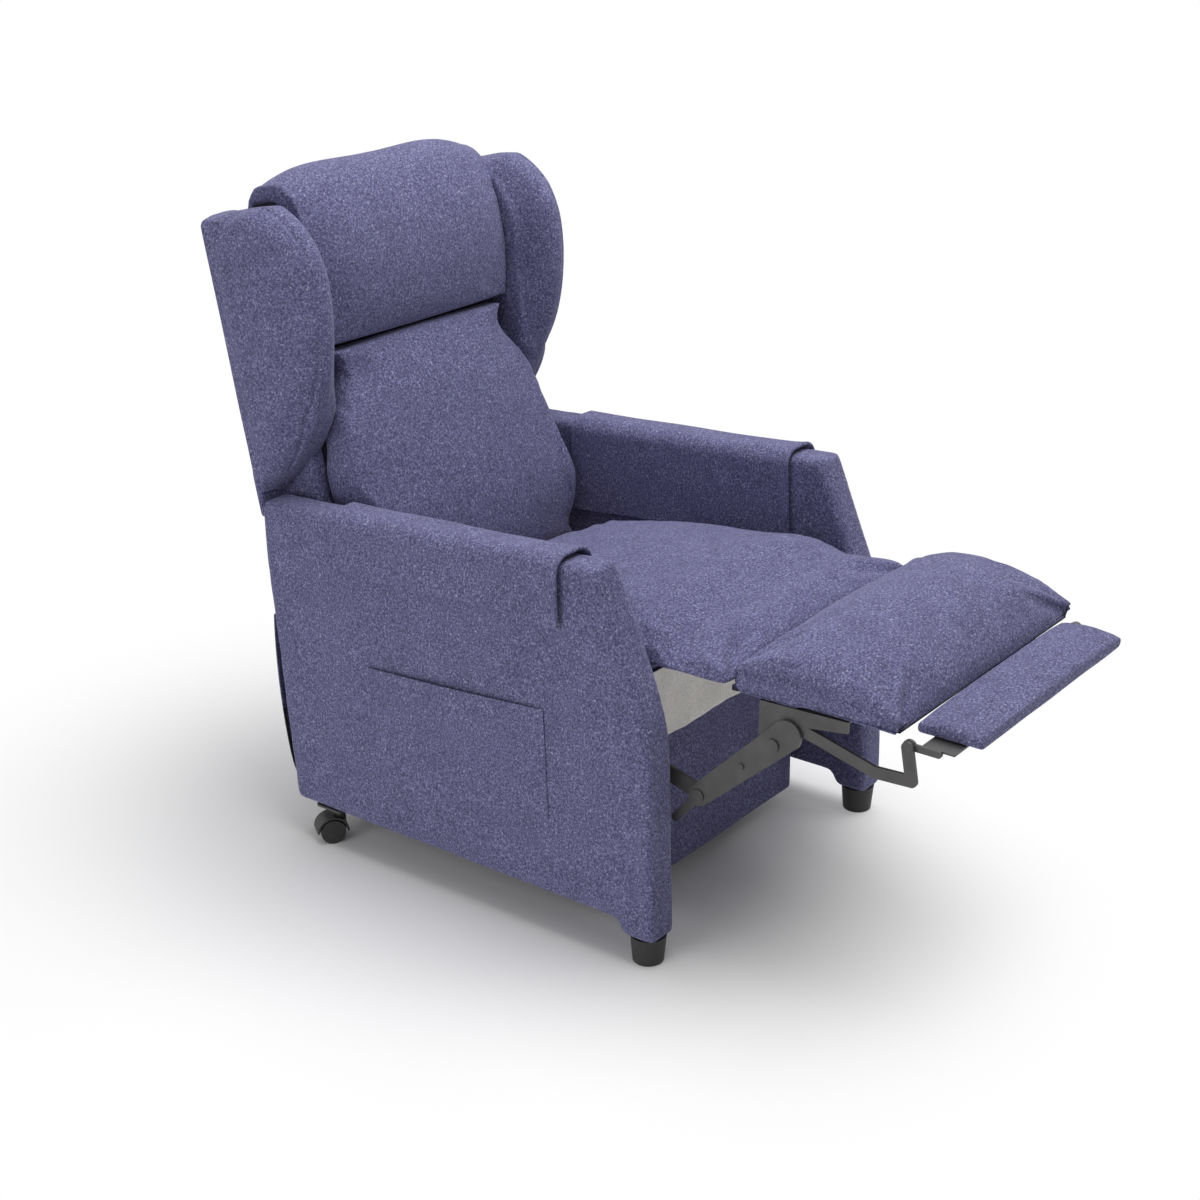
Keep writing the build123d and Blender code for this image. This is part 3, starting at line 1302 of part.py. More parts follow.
def lift_tube():
    """Tube that joins the cranks of the front lift links."""
    with BuildPart() as tube:
        with BuildSketch(Plane.YZ):
            with Locations(LIFT_KNOB):
                Circle(LIFT_TUBE_RADIUS)
        extrude(amount=FRONT_LINK_IN, both=True)
    return tube


def lift_link_rear(side):
    """Rear lift link, with play at its upper pin."""
    with BuildPart() as link:
        with BuildSketch(Plane.YZ.offset(side * REAR_LINK_IN)):
            strip((LIFT_REAR_PIVOT, LIFT_REAR_TOP), 2 * LIFT_LINK_RADIUS)
            with Locations(LIFT_REAR_PIVOT):
                Circle(LIFT_PIN_RADIUS + RUN, mode=Mode.SUBTRACT)
            with Locations(LIFT_REAR_TOP):
                Circle(LIFT_PIN_RADIUS + OPEN_PIVOT, mode=Mode.SUBTRACT)
        extrude(amount=side * LIFT_LINK_THICKNESS)
    return link


# Actuators


def actuator_plane(x, anchor, tip):
    """Side plane of an actuator: origin at its anchor pin, first axis towards its eye."""
    run = Vector(0, tip[0] - anchor[0], tip[1] - anchor[1])
    return Plane((x, *anchor), x_dir=run, z_dir=(1, 0, 0)), run.length


def actuator_body(x, anchor, tip, nose, motor_side):
    """Gearbox, motor and guide tube of an actuator; the tube ends a nose length short of the eye."""
    plane, length = actuator_plane(x, anchor, tip)
    gearbox_end = GEARBOX_START + GEARBOX_LENGTH
    shift = motor_side * GEARBOX_OFFSET
    with BuildPart() as body:
        with BuildSketch(plane):
            with Locations((GEARBOX_START + GEARBOX_LENGTH / 2, shift)):
                RectangleRounded(GEARBOX_LENGTH, GEARBOX_DEPTH, GEARBOX_ROUNDING)
        extrude(amount=GEARBOX_WIDTH / 2, both=True)
        with BuildSketch(plane):
            strip(((0, 0), (GEARBOX_START + LUG_RADIUS, 0)), 2 * LUG_RADIUS)
            Circle(PIN_RADIUS + RUN, mode=Mode.SUBTRACT)
        extrude(amount=LUG_THICKNESS / 2, both=True)
        with BuildSketch(plane):
            motor_middle = shift + motor_side * (GEARBOX_DEPTH + MOTOR_LENGTH) / 2
            with Locations((GEARBOX_START + GEARBOX_LENGTH / 2, motor_middle)):
                Rectangle(2 * MOTOR_RADIUS, MOTOR_LENGTH)
        extrude(amount=MOTOR_RADIUS, both=True)
        fillet(body.edges().filter_by(Axis(plane.origin, plane.y_dir)).filter_by(
            lambda edge: abs(edge.length - MOTOR_LENGTH) < RUN), MOTOR_RADIUS / 2)
        with BuildSketch(plane):
            with Locations(((gearbox_end + length - nose) / 2, (ROD_RADIUS + RUN + GUIDE_RADIUS) / 2)):
                Rectangle(length - nose - gearbox_end, GUIDE_RADIUS - ROD_RADIUS - RUN)
        revolve(axis=Axis(plane.origin, plane.x_dir))
    return body


def actuator_rod(x, anchor, tip, inner_end, eye_bore):
    """Rod of an actuator from inside its guide tube to its eye."""
    plane, length = actuator_plane(x, anchor, tip)
    with BuildPart() as rod:
        with BuildSketch(plane):
            with Locations(((inner_end + length - eye_bore - EYE_WALL / 2) / 2, ROD_RADIUS / 2)):
                Rectangle(length - eye_bore - EYE_WALL / 2 - inner_end, ROD_RADIUS)
        revolve(axis=Axis(plane.origin, plane.x_dir))
        with BuildSketch(plane):
            with Locations((length, 0)):
                Circle(eye_bore + EYE_WALL)
                Circle(eye_bore, mode=Mode.SUBTRACT)
        extrude(amount=EYE_THICKNESS / 2, both=True)
    return rod


def main():
    """Build every piece and write it to its own file."""
    os.makedirs("parts", exist_ok=True)
    hands = ((1, "left"), (-1, "right"))
    for side, hand in hands:
        save(arm_cover(side), f"arm_cover_{hand}")
        save(arm_frame(side), f"arm_frame_{hand}")
        save(arm_cap(side), f"arm_cap_{hand}")
        save(castor_fork(side), f"castor_fork_{hand}")
        save(castor_wheels(side), f"castor_wheels_{hand}")
        save(seat_rail(side), f"seat_rail_{hand}")
        save(wing(side), f"wing_{hand}")
        save(leg_link(side), f"leg_link_{hand}")
        save(base_rail(side), f"base_rail_{hand}")
        save(lift_link_front(side), f"lift_link_front_{hand}")
        save(lift_link_rear(side), f"lift_link_rear_{hand}")
    save(side_pocket(), "side_pocket")
    save(front_feet(), "front_feet")
    save(arm_bolts(), "arm_bolts")
    save(castor_plates(), "castor_plates")
    save(cross_tube_front(), "cross_tube_front")
    save(cross_tube_rear(), "cross_tube_rear")
    deck_front = FRONT_RAIL_FRONT + FRONT_RAIL_THICKNESS
    save(box_between((-INNER_HALF, deck_front, RAIL_TOP), (INNER_HALF, DECK_REAR, DECK_TOP)), "seat_deck")
    front_rail = ((-INNER_HALF, FRONT_RAIL_FRONT, FRONT_RAIL_LOW), (INNER_HALF, deck_front, DECK_TOP))
    save(box_between(*front_rail), "seat_front_rail")
    save(seat_cushion(), "seat_cushion")
    save(apron(), "apron")
    lining_back = FRONT_RAIL_FRONT - HINGE_LEAF - SEAT_GAP
    lining_front = lining_back - LINING_THICKNESS
    lining = ((-INNER_HALF, lining_front, FRONT_RAIL_LOW), (INNER_HALF, lining_back, LINING_TOP))
    save(box_between(*lining), "front_lining")
    save(control_box(), "control_box")
    rear_rail_top = REAR_RAIL_LOW + REAR_RAIL_HEIGHT
    rear_rail = ((-ARM_IN, REAR_RAIL_FRONT, REAR_RAIL_LOW), (ARM_IN, arm_rear(REAR_RAIL_LOW), rear_rail_top))
    save(box_between(*rear_rail), "rear_rail")
    save(drop_cloth(), "drop_cloth")
    save(back_frame(), "back_frame")
    save(back_rear_panel(), "back_rear_panel")
    save(lumbar_cushion(), "lumbar_cushion")
    save(head_pillow(), "head_pillow")
    save(hinge_leaf_seat(), "hinge_leaf_seat")
    save(hinge_leaf_bridge(), "hinge_leaf_bridge")
    save(leg_board(), "leg_board")
    bridge_shape = ((0, 1, 1), (0.5, 1, 0), (0.9, 0.97, 0), (1, 0.8, 1))
    save(leg_rest_pad(BRIDGE_REAR, GROOVE_Y, BRIDGE_THICKNESS, BRIDGE_CROWN, bridge_shape), "bridge_pad")
    leg_shape = ((0, 0.55, 1), (0.14, 0.88, 0), (0.5, 1, 0), (0.82, 0.72, 0), (1, 0.3, 2))
    leg_pad_rear = GROOVE_Y - PLANE_GAP
    save(leg_rest_pad(leg_pad_rear, LEG_PAD_FRONT, LEG_PAD_THICKNESS, LEG_PAD_CROWN, leg_shape), "leg_pad")
    save(ottoman_brackets(), "ottoman_brackets")
    save(leg_plates(), "leg_plates")
    save(foot_flap(), "foot_flap")
    save(flap_brackets(), "flap_brackets")
    save(leg_tube(), "leg_tube")
    save(base_cross(BASE_FRONT + BASE_TUBE / 2), "base_cross_front")
    save(base_cross_rear(), "base_cross_rear")
    save(floor_pads(), "floor_pads")
    save(lift_tube(), "lift_tube")
    lift_eye = LIFT_TUBE_RADIUS + OPEN_EYE
    gearbox_end = GEARBOX_START + GEARBOX_LENGTH
    save(actuator_body(0, LIFT_ANCHOR, LIFT_EYE, LIFT_NOSE, -1), "lift_actuator")
    save(actuator_rod(0, LIFT_ANCHOR, LIFT_EYE, gearbox_end + PLANE_GAP, lift_eye), "lift_rod")
    save(actuator_body(RECLINE_X, RECLINE_ANCHOR, BACK_EYE, RECLINE_NOSE, -1), "recline_actuator")
    recline_end = gearbox_end + RECLINE_NOSE - LIFT_NOSE + ROD_RADIUS
    save(actuator_rod(RECLINE_X, RECLINE_ANCHOR, BACK_EYE, recline_end, PIN_RADIUS + OPEN_EYE), "recline_rod")
    save(actuator_body(LEG_DRIVE_X, LEG_DRIVE_ANCHOR, LEG_EYE, LEG_DRIVE_NOSE, 1), "leg_actuator")
    leg_end = gearbox_end + LEG_DRIVE_NOSE - LIFT_NOSE + ROD_RADIUS
    save(actuator_rod(LEG_DRIVE_X, LEG_DRIVE_ANCHOR, LEG_EYE, leg_end, PIN_RADIUS + OPEN_LEG_EYE), "leg_rod")


main()
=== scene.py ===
"""Dressed lift recliner: padded cloth pieces, finishes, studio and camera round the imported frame.

Metres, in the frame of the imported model: the chair faces -Y and stands on Z = 0.
"""

import math

import bmesh
import bpy
import numpy as np
from mathutils import Matrix, Vector


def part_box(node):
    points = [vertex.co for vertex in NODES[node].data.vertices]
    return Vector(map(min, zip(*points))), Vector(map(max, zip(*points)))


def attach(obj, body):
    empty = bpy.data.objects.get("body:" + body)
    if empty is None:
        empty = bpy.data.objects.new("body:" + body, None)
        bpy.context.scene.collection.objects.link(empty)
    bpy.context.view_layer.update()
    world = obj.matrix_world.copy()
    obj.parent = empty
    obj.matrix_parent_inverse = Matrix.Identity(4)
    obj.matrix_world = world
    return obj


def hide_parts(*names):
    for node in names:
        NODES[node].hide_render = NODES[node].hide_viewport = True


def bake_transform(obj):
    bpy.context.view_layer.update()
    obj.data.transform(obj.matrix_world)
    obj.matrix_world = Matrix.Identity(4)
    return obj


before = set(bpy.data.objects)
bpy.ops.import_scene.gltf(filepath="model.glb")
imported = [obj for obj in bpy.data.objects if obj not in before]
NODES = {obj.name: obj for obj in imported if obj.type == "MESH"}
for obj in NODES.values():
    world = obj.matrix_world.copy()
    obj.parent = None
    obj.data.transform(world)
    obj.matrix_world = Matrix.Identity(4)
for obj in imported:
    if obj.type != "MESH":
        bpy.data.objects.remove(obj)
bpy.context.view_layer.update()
SIDES = ((1, "left"), (-1, "right"))

# Boards under a dark backing: partly real dust cloth, partly painted shade in the creases between
# cushions
SHADE_BACKED_BOARDS = ("back_frame", "leg_board")

# Camera of the photograph
CAMERA_PLACE = (-2.54974, -1.77682, 1.69673)
CAMERA_AZIMUTH = -53.09
CAMERA_ELEVATION = 22.0
CAMERA_LENS = 62.93
CAMERA_SENSOR = 36

# Floor, whose shade fades to white between two distances from its middle, and light
FLOOR_RADIUS = 9
FLOOR_SHADE = (-0.15, 0.30, 0)
FLOOR_FADE = (0.40, 1.15)
WORLD_GLOW = 0.36

# Name, place, aim, size and power of each lamp
LAMPS = (
    ("top_lamp", (0.5, -0.15, 3.3), (0, 0, 0.5), 2.8, 104),
    ("side_lamp", (-3.2, 0.5, 0.7), (0, 0, 0.5), 1.8, 28),
)

# Cloth that swells the padded pieces
SWELL_FRAMES = 20
SWELL_PRESSURE = 4
SWELL_STRETCH = 18
SWELL_BEND = 4

# Arms
ARM_IN = 0.278
ARM_OUT = 0.342
ARM_MIDDLE = (ARM_IN + ARM_OUT) / 2
ARM_TOP_REAR = (0.560, 0.586)
ARM_TOP_FRONT = (-0.104, 0.622)
ARM_OUTLINE = (
    (-0.104, 0.622),
    (-0.178, 0.452),
    (-0.188, 0.423),
    (-0.197, 0.393),
    (-0.203, 0.362),
    (-0.205, 0.330),
    (-0.214, 0.045),
    (-0.158, 0.045),
    (-0.146, 0.068),
    (0.519, 0.068),
    (0.5595, 0.486),
    (0.562, 0.586),
)
ARM_SEAM = (
    (-0.080, 0.607),
    (-0.150, 0.458),
    (-0.173, 0.393),
    (-0.181, 0.330),
    (-0.189, 0.062),
)
ARM_ROUNDING = 0.010
ARM_CROWN = 0.0045
ARM_CROWN_REACH = 0.07
ARM_INNER_CROWN = -0.35
ARM_REAR_FOOT = (0.519, 0.068)
ARM_REAR_RUN = (0.0405, 0.418)
CAP_REAR = 0.408
CAP_LENGTH = 0.456
CAP_THICKNESS = 0.0058
CAP_GAP = 0.0006
CAP_SLACK = 0.0008
CAP_PUFF = 0.0015
CAP_FRONT_LIFT = 0.0060
CAP_REAR_LIFT = 0.0004
CAP_SIDE_LIFT = 0.0012
CAP_FRONT_HEM = 0.045
CAP_REAR_HEM = 0.03
CAP_SIDE_HEM = 0.05
CAP_CORNER = 0.020
CAP_OUTER_DROP = 0.090
CAP_INNER_DROP = 0.157
POCKET_CORNERS = ((0.340, 0.359), (-0.017, 0.384), (-0.026, 0.200), (0.300, 0.145))
POCKET_LENGTH = 0.34
POCKET_HEIGHT = 0.2
POCKET_STAND = 0.0012
POCKET_FULLNESS = 0.0022
POCKET_RIM = 0.008
POCKET_STITCH = 0.007
POCKET_STITCH_DEPTH = 0.0010
POCKET_STITCH_WIDTH = 0.0022
POCKET_SLACK = 0.0032
POCKET_SLACK_REACH = 0.22
POCKET_LIP = 0.0012
POCKET_LIP_REACH = 0.03

# Cloth behind the chair
DROP_GAP = 0.0078
DROP_FOLDS = 6
DROP_TOP_FOLD = 0.0012
DROP_FOLD_GROWTH = 0.0048
DROP_BELLY = 0.0105
DROP_TUCK = 0.003
DROP_TUCK_REACH = 0.06
DROP_GATHER = 0.012
DROP_GATHER_REACH = 0.05
ELASTIC_WIDTH = 0.007
ELASTIC_HEM = 0.008
ELASTIC_SHARE = 0.42

# Back, as distances up the back and forward from its pivot
BACK_PIVOT = Vector((0, 0.420, 0.330))
BACK_TILT = math.radians(12)
BACK_UP = Vector((0, math.sin(BACK_TILT), math.cos(BACK_TILT)))
BACK_FORWARD = Vector((0, -math.cos(BACK_TILT), math.sin(BACK_TILT)))
BACK_FACE = -0.028
BACK_REAR = -0.090
BACK_HALF = 0.234
BACK_FOOT = 0.165
BACK_TOP = 0.735
BACK_CROWN = 0.004
BACK_CROWN_REACH = 0.05
LUMBAR_BEHIND = -0.35
LUMBAR_WIDENING = 0.024
LUMBAR_WIDEST = 0.292
LUMBAR_REACH = 0.044
PILLOW_BEHIND = -0.4
WING_ROOT = 0.2343
WING_SEAM = 0.304
WING_SEAM_START = -0.060
WING_SEAM_RAMP = 0.030

# Blocks below the wings, with the back upright: near and far side, front, rear, foot and top
WING_CLOSERS = (
    (0.235, 0.268, 0.451, 0.508, 0.60, 0.675),
    (0.235, 0.333, 0.5110, 0.5235, 0.578, 0.66),
)

# Seat and leg rest
END_INSET = 0.0025
SEAT_BASE = 0.3843
SEAT_HALF = 0.270
SEAT_HELD = 0.006
SEAT_UNDERSIDE = -0.3
SEAT_BRIDGE_Y = -0.10
SEAT_FILLER = ((-0.176, 0.466), (-0.150, 0.4905))
SEAT_CREST = 0.018
SEAT_CREST_Y = -0.125
SEAT_CREST_REACH = 0.075
SEAT_CREST_FOOT = 0.474
SEAT_CREST_RAMP = 0.014
PAD_HALF = 0.272
BOARD_HALF = 0.257
LEG_UNDERSIDE = -0.5
LEG_NOSE = ((-0.5655, 0.4655), (-0.545, 0.484))
LEG_WRAPS = 5
LEG_WRAP_START = (-0.300, 0.4570)
LEG_WRAP_STEP = (0.052, 0.0017)
LEG_WRAP_SIZE = (0.056, 0.018)
LEG_WRAP_GAP = 0.0008
LEG_CROWN = 0.008
LEG_CROWN_Y = -0.42
LEG_CROWN_REACH = 0.10
LEG_CROWN_FOOT = 0.49
LEG_CROWN_RAMP = 0.02
LEG_SEAM = (
    (-0.570, 0.478),
    (-0.545, 0.485),
    (-0.500, 0.496),
    (-0.427, 0.505),
    (-0.369, 0.503),
    (-0.330, 0.497),
    (-0.292, 0.484),
)
LEG_END_DEPTH = 0.027
LEG_END_RAMP = 0.02
LEG_BULGE = 0.0030
LEG_BULGE_RISE = 0.010
LEG_BULGE_REACH = 0.008
LEG_TUCK = 0.0040
LEG_TUCK_REACH = 0.002
LEG_CORNER = (PAD_HALF, -0.566, 0.482)
LEG_CORNER_PULL = 0.006
LEG_CORNER_REACH = 0.014


# Finishes


class Value:
    """A socket of a finish; arithmetic on it adds Math nodes."""

    def __init__(self, finish, socket):
        self.finish = finish
        self.socket = socket

    def maths(self, operation, first, second):
        return self.finish.node("ShaderNodeMath", {"operation": operation}, {0: first, 1: second})

    def __add__(self, other):
        return self.maths("ADD", self, other)

    def __radd__(self, other):
        return self.maths("ADD", other, self)

    def __sub__(self, other):
        return self.maths("SUBTRACT", self, other)

    def __rsub__(self, other):
        return self.maths("SUBTRACT", other, self)

    def __mul__(self, other):
        return self.maths("MULTIPLY", self, other)

    def __rmul__(self, other):
        return self.maths("MULTIPLY", other, self)


class Nodes:
    """A node tree to which one method adds the nodes."""

    def __init__(self, tree):
        self.tree = tree

    def node(self, kind, settings=None, inputs=None, output=0):
        """Add a node: its settings first, then the values or links of its sockets."""
        node = self.tree.nodes.new(kind)
        for key, value in (settings or {}).items():
            if key == "stops":
                self.set_stops(node.color_ramp, value)
            else:
                setattr(node, key, value)
        for key, value in (inputs or {}).items():
            self.feed(node.inputs[key], value)
        return Value(self, node.outputs[output])

    def set_stops(self, ramp, stops):
        while len(ramp.elements) < len(stops):
            ramp.elements.new(1)
        for element, (position, colour) in zip(ramp.elements, stops):
            element.position = position
            element.color = (*colour, 1) if len(colour) == 3 else colour

    def feed(self, socket, value):
        if isinstance(value, Value):
            self.tree.links.new(value.socket, socket)
        else:
            socket.default_value = value

    def seen(self):
        """1 for what the camera sees, straight, mirrored or through glass, and 0 for light."""
        straight = self.node("ShaderNodeLightPath", output="Is Camera Ray")
        mirrored = self.node("ShaderNodeLightPath", output="Is Glossy Ray")
        through = self.node("ShaderNodeLightPath", output="Is Transmission Ray")
        return straight.maths("MAXIMUM", straight, mirrored.maths("MAXIMUM", mirrored, through))


class Finish(Nodes):
    """A node material made from its Principled shader outwards."""

    def __init__(self, name, **constants):
        self.material = bpy.data.materials.new(name)
        self.material.use_nodes = True
        super().__init__(self.material.node_tree)
        self.shader = self.tree.nodes["Principled BSDF"]
        for socket, value in constants.items():
            self.shader.inputs[socket.replace("_", " ")].default_value = value

    def place(self):
        return self.node("ShaderNodeTexCoord", output="Object")

    def noise(self, place, scale, detail=2.0, roughness=0.5):
        inputs = {"Vector": place, "Scale": scale, "Detail": detail, "Roughness": roughness}
        return self.node("ShaderNodeTexNoise", {"noise_dimensions": "3D"}, inputs)

    def stretched(self, place, scale):
        inputs = {"Vector": place, "Scale": scale}
        return self.node("ShaderNodeMapping", {"vector_type": "POINT"}, inputs)

    def ramp(self, value, *stops):
        return self.node("ShaderNodeValToRGB", {"stops": stops}, {"Fac": value})

    def step(self, value, low, high):
        """A smooth 0 to 1 mask between two values."""
        inputs = {"Value": value, "From Min": low, "From Max": high}
        return self.node("ShaderNodeMapRange", {"interpolation_type": "SMOOTHSTEP"}, inputs)

    def mix(self, factor, first, second, blend="MIX"):
        settings = {"data_type": "RGBA", "blend_type": blend}
        return self.node("ShaderNodeMix", settings, {0: factor, 6: first, 7: second}, 2)

    def bump(self, height, strength, distance):
        inputs = {"Height": height, "Strength": strength, "Distance": distance}
        return self.node("ShaderNodeBump", None, inputs)

    def coat(self, **sockets):
        for socket, value in sockets.items():
            self.feed(self.shader.inputs[socket.replace("_", " ")], value)
        return self.material


def wool_finish():
    """Blue-violet heathered wool: dark and light fibre mixed, pale flecks, a felted nap."""
    wool = Finish("flecked_wool", Specular_IOR_Level=0.2, Sheen_Weight=0.18, Sheen_Roughness=0.45,
                  Sheen_Tint=(0.72, 0.72, 0.92, 1))
    place = wool.place()
    fibre = wool.noise(place, 330, 3, 0.62)
    colour = wool.ramp(
        fibre,
        (0.30, (0.042, 0.040, 0.092)),
        (0.46, (0.094, 0.091, 0.184)),
        (0.58, (0.158, 0.154, 0.288)),
        (0.72, (0.300, 0.296, 0.470)),
    )
    fleck = wool.step(wool.noise(place, 265, 1.5, 0.5), 0.635, 0.72)
    colour = wool.mix(fleck * 0.62, colour, (0.42, 0.42, 0.56, 1))
    dark = wool.step(wool.noise(place, 180, 1.0, 0.5), 0.40, 0.30)
    colour = wool.mix(dark * 0.5, colour, (0.050, 0.047, 0.095, 1))
    cloud = wool.noise(place, 24, 3, 0.6)
    mottle = wool.ramp(cloud, (0.3, (0.90, 0.90, 0.91)), (0.7, (1.08, 1.08, 1.07)))
    colour = wool.mix(1.0, colour, mottle, "MULTIPLY")
    nap = wool.noise(place, 520, 2.5, 0.65)
    roughness = 0.88 + 0.1 * nap
    return wool.coat(Base_Color=colour, Roughness=roughness,
                     Normal=wool.bump(nap + 0.5 * fibre, 0.5, 0.0009))


def lining_finish():
    """Cream non-woven lining with matted fibres."""
    cloth = Finish("cream_lining", Specular_IOR_Level=0.2)
    place = cloth.place()
    fibre = cloth.noise(cloth.stretched(place, (1, 1.6, 0.6)), 420, 3, 0.7)
    colour = cloth.ramp(
        fibre,
        (0.32, (0.66, 0.63, 0.59)),
        (0.52, (0.86, 0.83, 0.79)),
        (0.7, (0.95, 0.93, 0.90)),
    )
    cloud = cloth.noise(place, 18, 2)
    mottle = cloth.ramp(cloud, (0.3, (0.9, 0.9, 0.9)), (0.7, (1.05, 1.05, 1.05)))
    colour = cloth.mix(1.0, colour, mottle, "MULTIPLY")
    return cloth.coat(Base_Color=colour, Roughness=0.9 + 0.08 * fibre,
                      Normal=cloth.bump(fibre, 0.4, 0.0008))


def timber_finish():
    """Bare beech and plywood with long pores."""
    wood = Finish("bare_timber", Specular_IOR_Level=0.3)
    place = wood.place()
    grain = wood.noise(wood.stretched(place, (2.2, 60, 60)), 1.6, 4, 0.6)
    pore = wood.noise(wood.stretched(place, (12, 520, 520)), 1.0, 2, 0.5)
    colour = wood.ramp(
        grain,
        (0.3, (0.30, 0.185, 0.088)),
        (0.5, (0.43, 0.285, 0.150)),
        (0.7, (0.54, 0.385, 0.225)),
    )
    colour = wood.mix(wood.step(pore, 0.56, 0.68) * 0.5, colour, (0.20, 0.115, 0.05, 1))
    return wood.coat(Base_Color=colour, Roughness=0.52 + 0.22 * grain,
                     Normal=wood.bump(pore, 0.25, 0.0006))


def painted_steel_finish():
    """Satin dark grey powder paint, a little rubbed."""
    paint = Finish("grey_painted_steel", Specular_IOR_Level=0.5)
    place = paint.place()
    peel = paint.noise(place, 900, 2, 0.5)
    cloud = paint.noise(place, 30, 3, 0.6)
    colour = paint.ramp(cloud, (0.3, (0.040, 0.038, 0.038)), (0.7, (0.066, 0.063, 0.062)))
    rub = paint.step(paint.noise(paint.stretched(place, (1, 0.35, 0.35)), 160, 3, 0.7), 0.66, 0.76)
    colour = paint.mix(rub * 0.35, colour, (0.16, 0.155, 0.15, 1))
    return paint.coat(Base_Color=colour, Roughness=0.36 + 0.16 * cloud, Metallic=rub * 0.25,
                      Normal=paint.bump(peel, 0.12, 0.0004))


def plated_steel_finish():
    """Zinc-plated bright steel with fine drawing lines."""
    steel = Finish("plated_steel", Metallic=1.0)
    place = steel.place()
    lines = steel.noise(steel.stretched(place, (400, 30, 400)), 1.0, 3, 0.6)
    colour = steel.ramp(lines, (0.3, (0.46, 0.46, 0.47)), (0.7, (0.62, 0.62, 0.62)))
    return steel.coat(Base_Color=colour, Roughness=0.24 + 0.2 * lines,
                      Normal=steel.bump(lines, 0.08, 0.0003))


def plastic_finish():
    """Moulded black plastic with a fine spark-eroded grain."""
    plastic = Finish("black_plastic_grain", Specular_IOR_Level=0.45)
    place = plastic.place()
    grain = plastic.noise(place, 1400, 2, 0.6)
    scuff = plastic.step(plastic.noise(place, 90, 4, 0.7), 0.58, 0.75)
    colour = plastic.mix(scuff * 0.5, (0.024, 0.023, 0.024, 1), (0.060, 0.058, 0.058, 1))
    return plastic.coat(Base_Color=colour, Roughness=0.46 + 0.2 * grain + 0.1 * scuff,
                        Normal=plastic.bump(grain, 0.2, 0.0003))


def rubber_finish(name="black_rubber"):
    """Matte rubber or elastic, dusty in places."""
    rubber = Finish(name, Specular_IOR_Level=0.25)
    place = rubber.place()
    dust = rubber.noise(place, 140, 4, 0.7)
    colour = rubber.ramp(dust, (0.4, (0.014, 0.014, 0.016)), (0.75, (0.055, 0.054, 0.054)))
    return rubber.coat(Base_Color=colour, Roughness=0.75 + 0.2 * dust,
                       Normal=rubber.bump(dust, 0.15, 0.0004))


def backing_and_painted_shade_finish():
    """Dark non-woven backing over the boards behind the covers: partly real dust cloth, partly
    painted shade in the creases where the boards show between cushions.
    """
    cloth = Finish("dark_backing_and_painted_shade", Specular_IOR_Level=0.15)
    fibre = cloth.noise(cloth.place(), 380, 3, 0.65)
    # Near-black colour: real dust cloth, and painted shade in the creases between cushions
    colour = cloth.ramp(fibre, (0.35, (0.014, 0.013, 0.022)), (0.65, (0.040, 0.038, 0.062)))
    return cloth.coat(Base_Color=colour, Roughness=0.88 + 0.1 * fibre,
                      Normal=cloth.bump(fibre, 0.3, 0.0006))


WOOL = wool_finish()
BACKING_AND_PAINTED_SHADE = backing_and_painted_shade_finish()
LINING = lining_finish()
ELASTIC = rubber_finish("black_elastic")
CAD_FINISHES = {
    "upholstery": WOOL,
    "lining": LINING,
    "timber": timber_finish(),
    "dark_steel": painted_steel_finish(),
    "bright_steel": plated_steel_finish(),
    "black_plastic": plastic_finish(),
    "rubber": rubber_finish(),
}


def dress_frame():
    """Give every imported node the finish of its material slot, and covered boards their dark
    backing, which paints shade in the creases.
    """
    for name, node in NODES.items():
        for slot in node.material_slots:
            finish = CAD_FINISHES[slot.material.name.split(".")[0]]
            # The dark backing paints shade where the boards show between cushions
            slot.material = BACKING_AND_PAINTED_SHADE if name in SHADE_BACKED_BOARDS else finish


# Meshes


def new_piece(name, shape):
    """Turn a bmesh into an object of the scene."""
    mesh = bpy.data.meshes.new(name)
    shape.to_mesh(mesh)
    shape.free()
    piece = bpy.data.objects.new(name, mesh)
    bpy.context.scene.collection.objects.link(piece)
    return piece


def points(piece):
    flat = np.empty(len(piece.data.vertices) * 3, np.float32)
    piece.data.vertices.foreach_get("co", flat)
    return flat.reshape(-1, 3).astype(float)


def normals(piece):
    flat = np.empty(len(piece.data.vertices) * 3, np.float32)
    piece.data.vertex_normals.foreach_get("vector", flat)
    return flat.reshape(-1, 3).astype(float)


def put(piece, at):
    piece.data.vertices.foreach_set("co", at.astype(np.float32).ravel())
    piece.data.update()


def made_mesh(piece):
    """Make the piece's modifiers part of its mesh."""
    bpy.context.view_layer.update()
    graph = bpy.context.evaluated_depsgraph_get()
    mesh = bpy.data.meshes.new_from_object(piece.evaluated_get(graph))
    old = piece.data
    piece.modifiers.clear()
    piece.data = mesh
    bpy.data.meshes.remove(old)


def remeshed(piece, voxel, rounds, lean=0.0):
    """Even skin of small squares, smoothed a little and leant back again."""
    skin = piece.modifiers.new("Skin", "REMESH")
    skin.mode = "VOXEL"
    skin.voxel_size = voxel
    soften(piece, rounds)
    x, y, z = (points(piece) - np.array(BACK_PIVOT)).T
    level, tip = math.cos(lean), math.sin(lean)
    turned = np.column_stack((x, y * level + z * tip, z * level - y * tip))
    put(piece, turned + np.array(BACK_PIVOT))


def soften(piece, rounds, share=0.5):
    smooth = piece.modifiers.new("Soften", "SMOOTH")
    smooth.factor = share
    smooth.iterations = rounds
    made_mesh(piece)


def divided(piece):
    fine = piece.modifiers.new("Fine", "SUBSURF")
    fine.levels = fine.render_levels = 1
    made_mesh(piece)


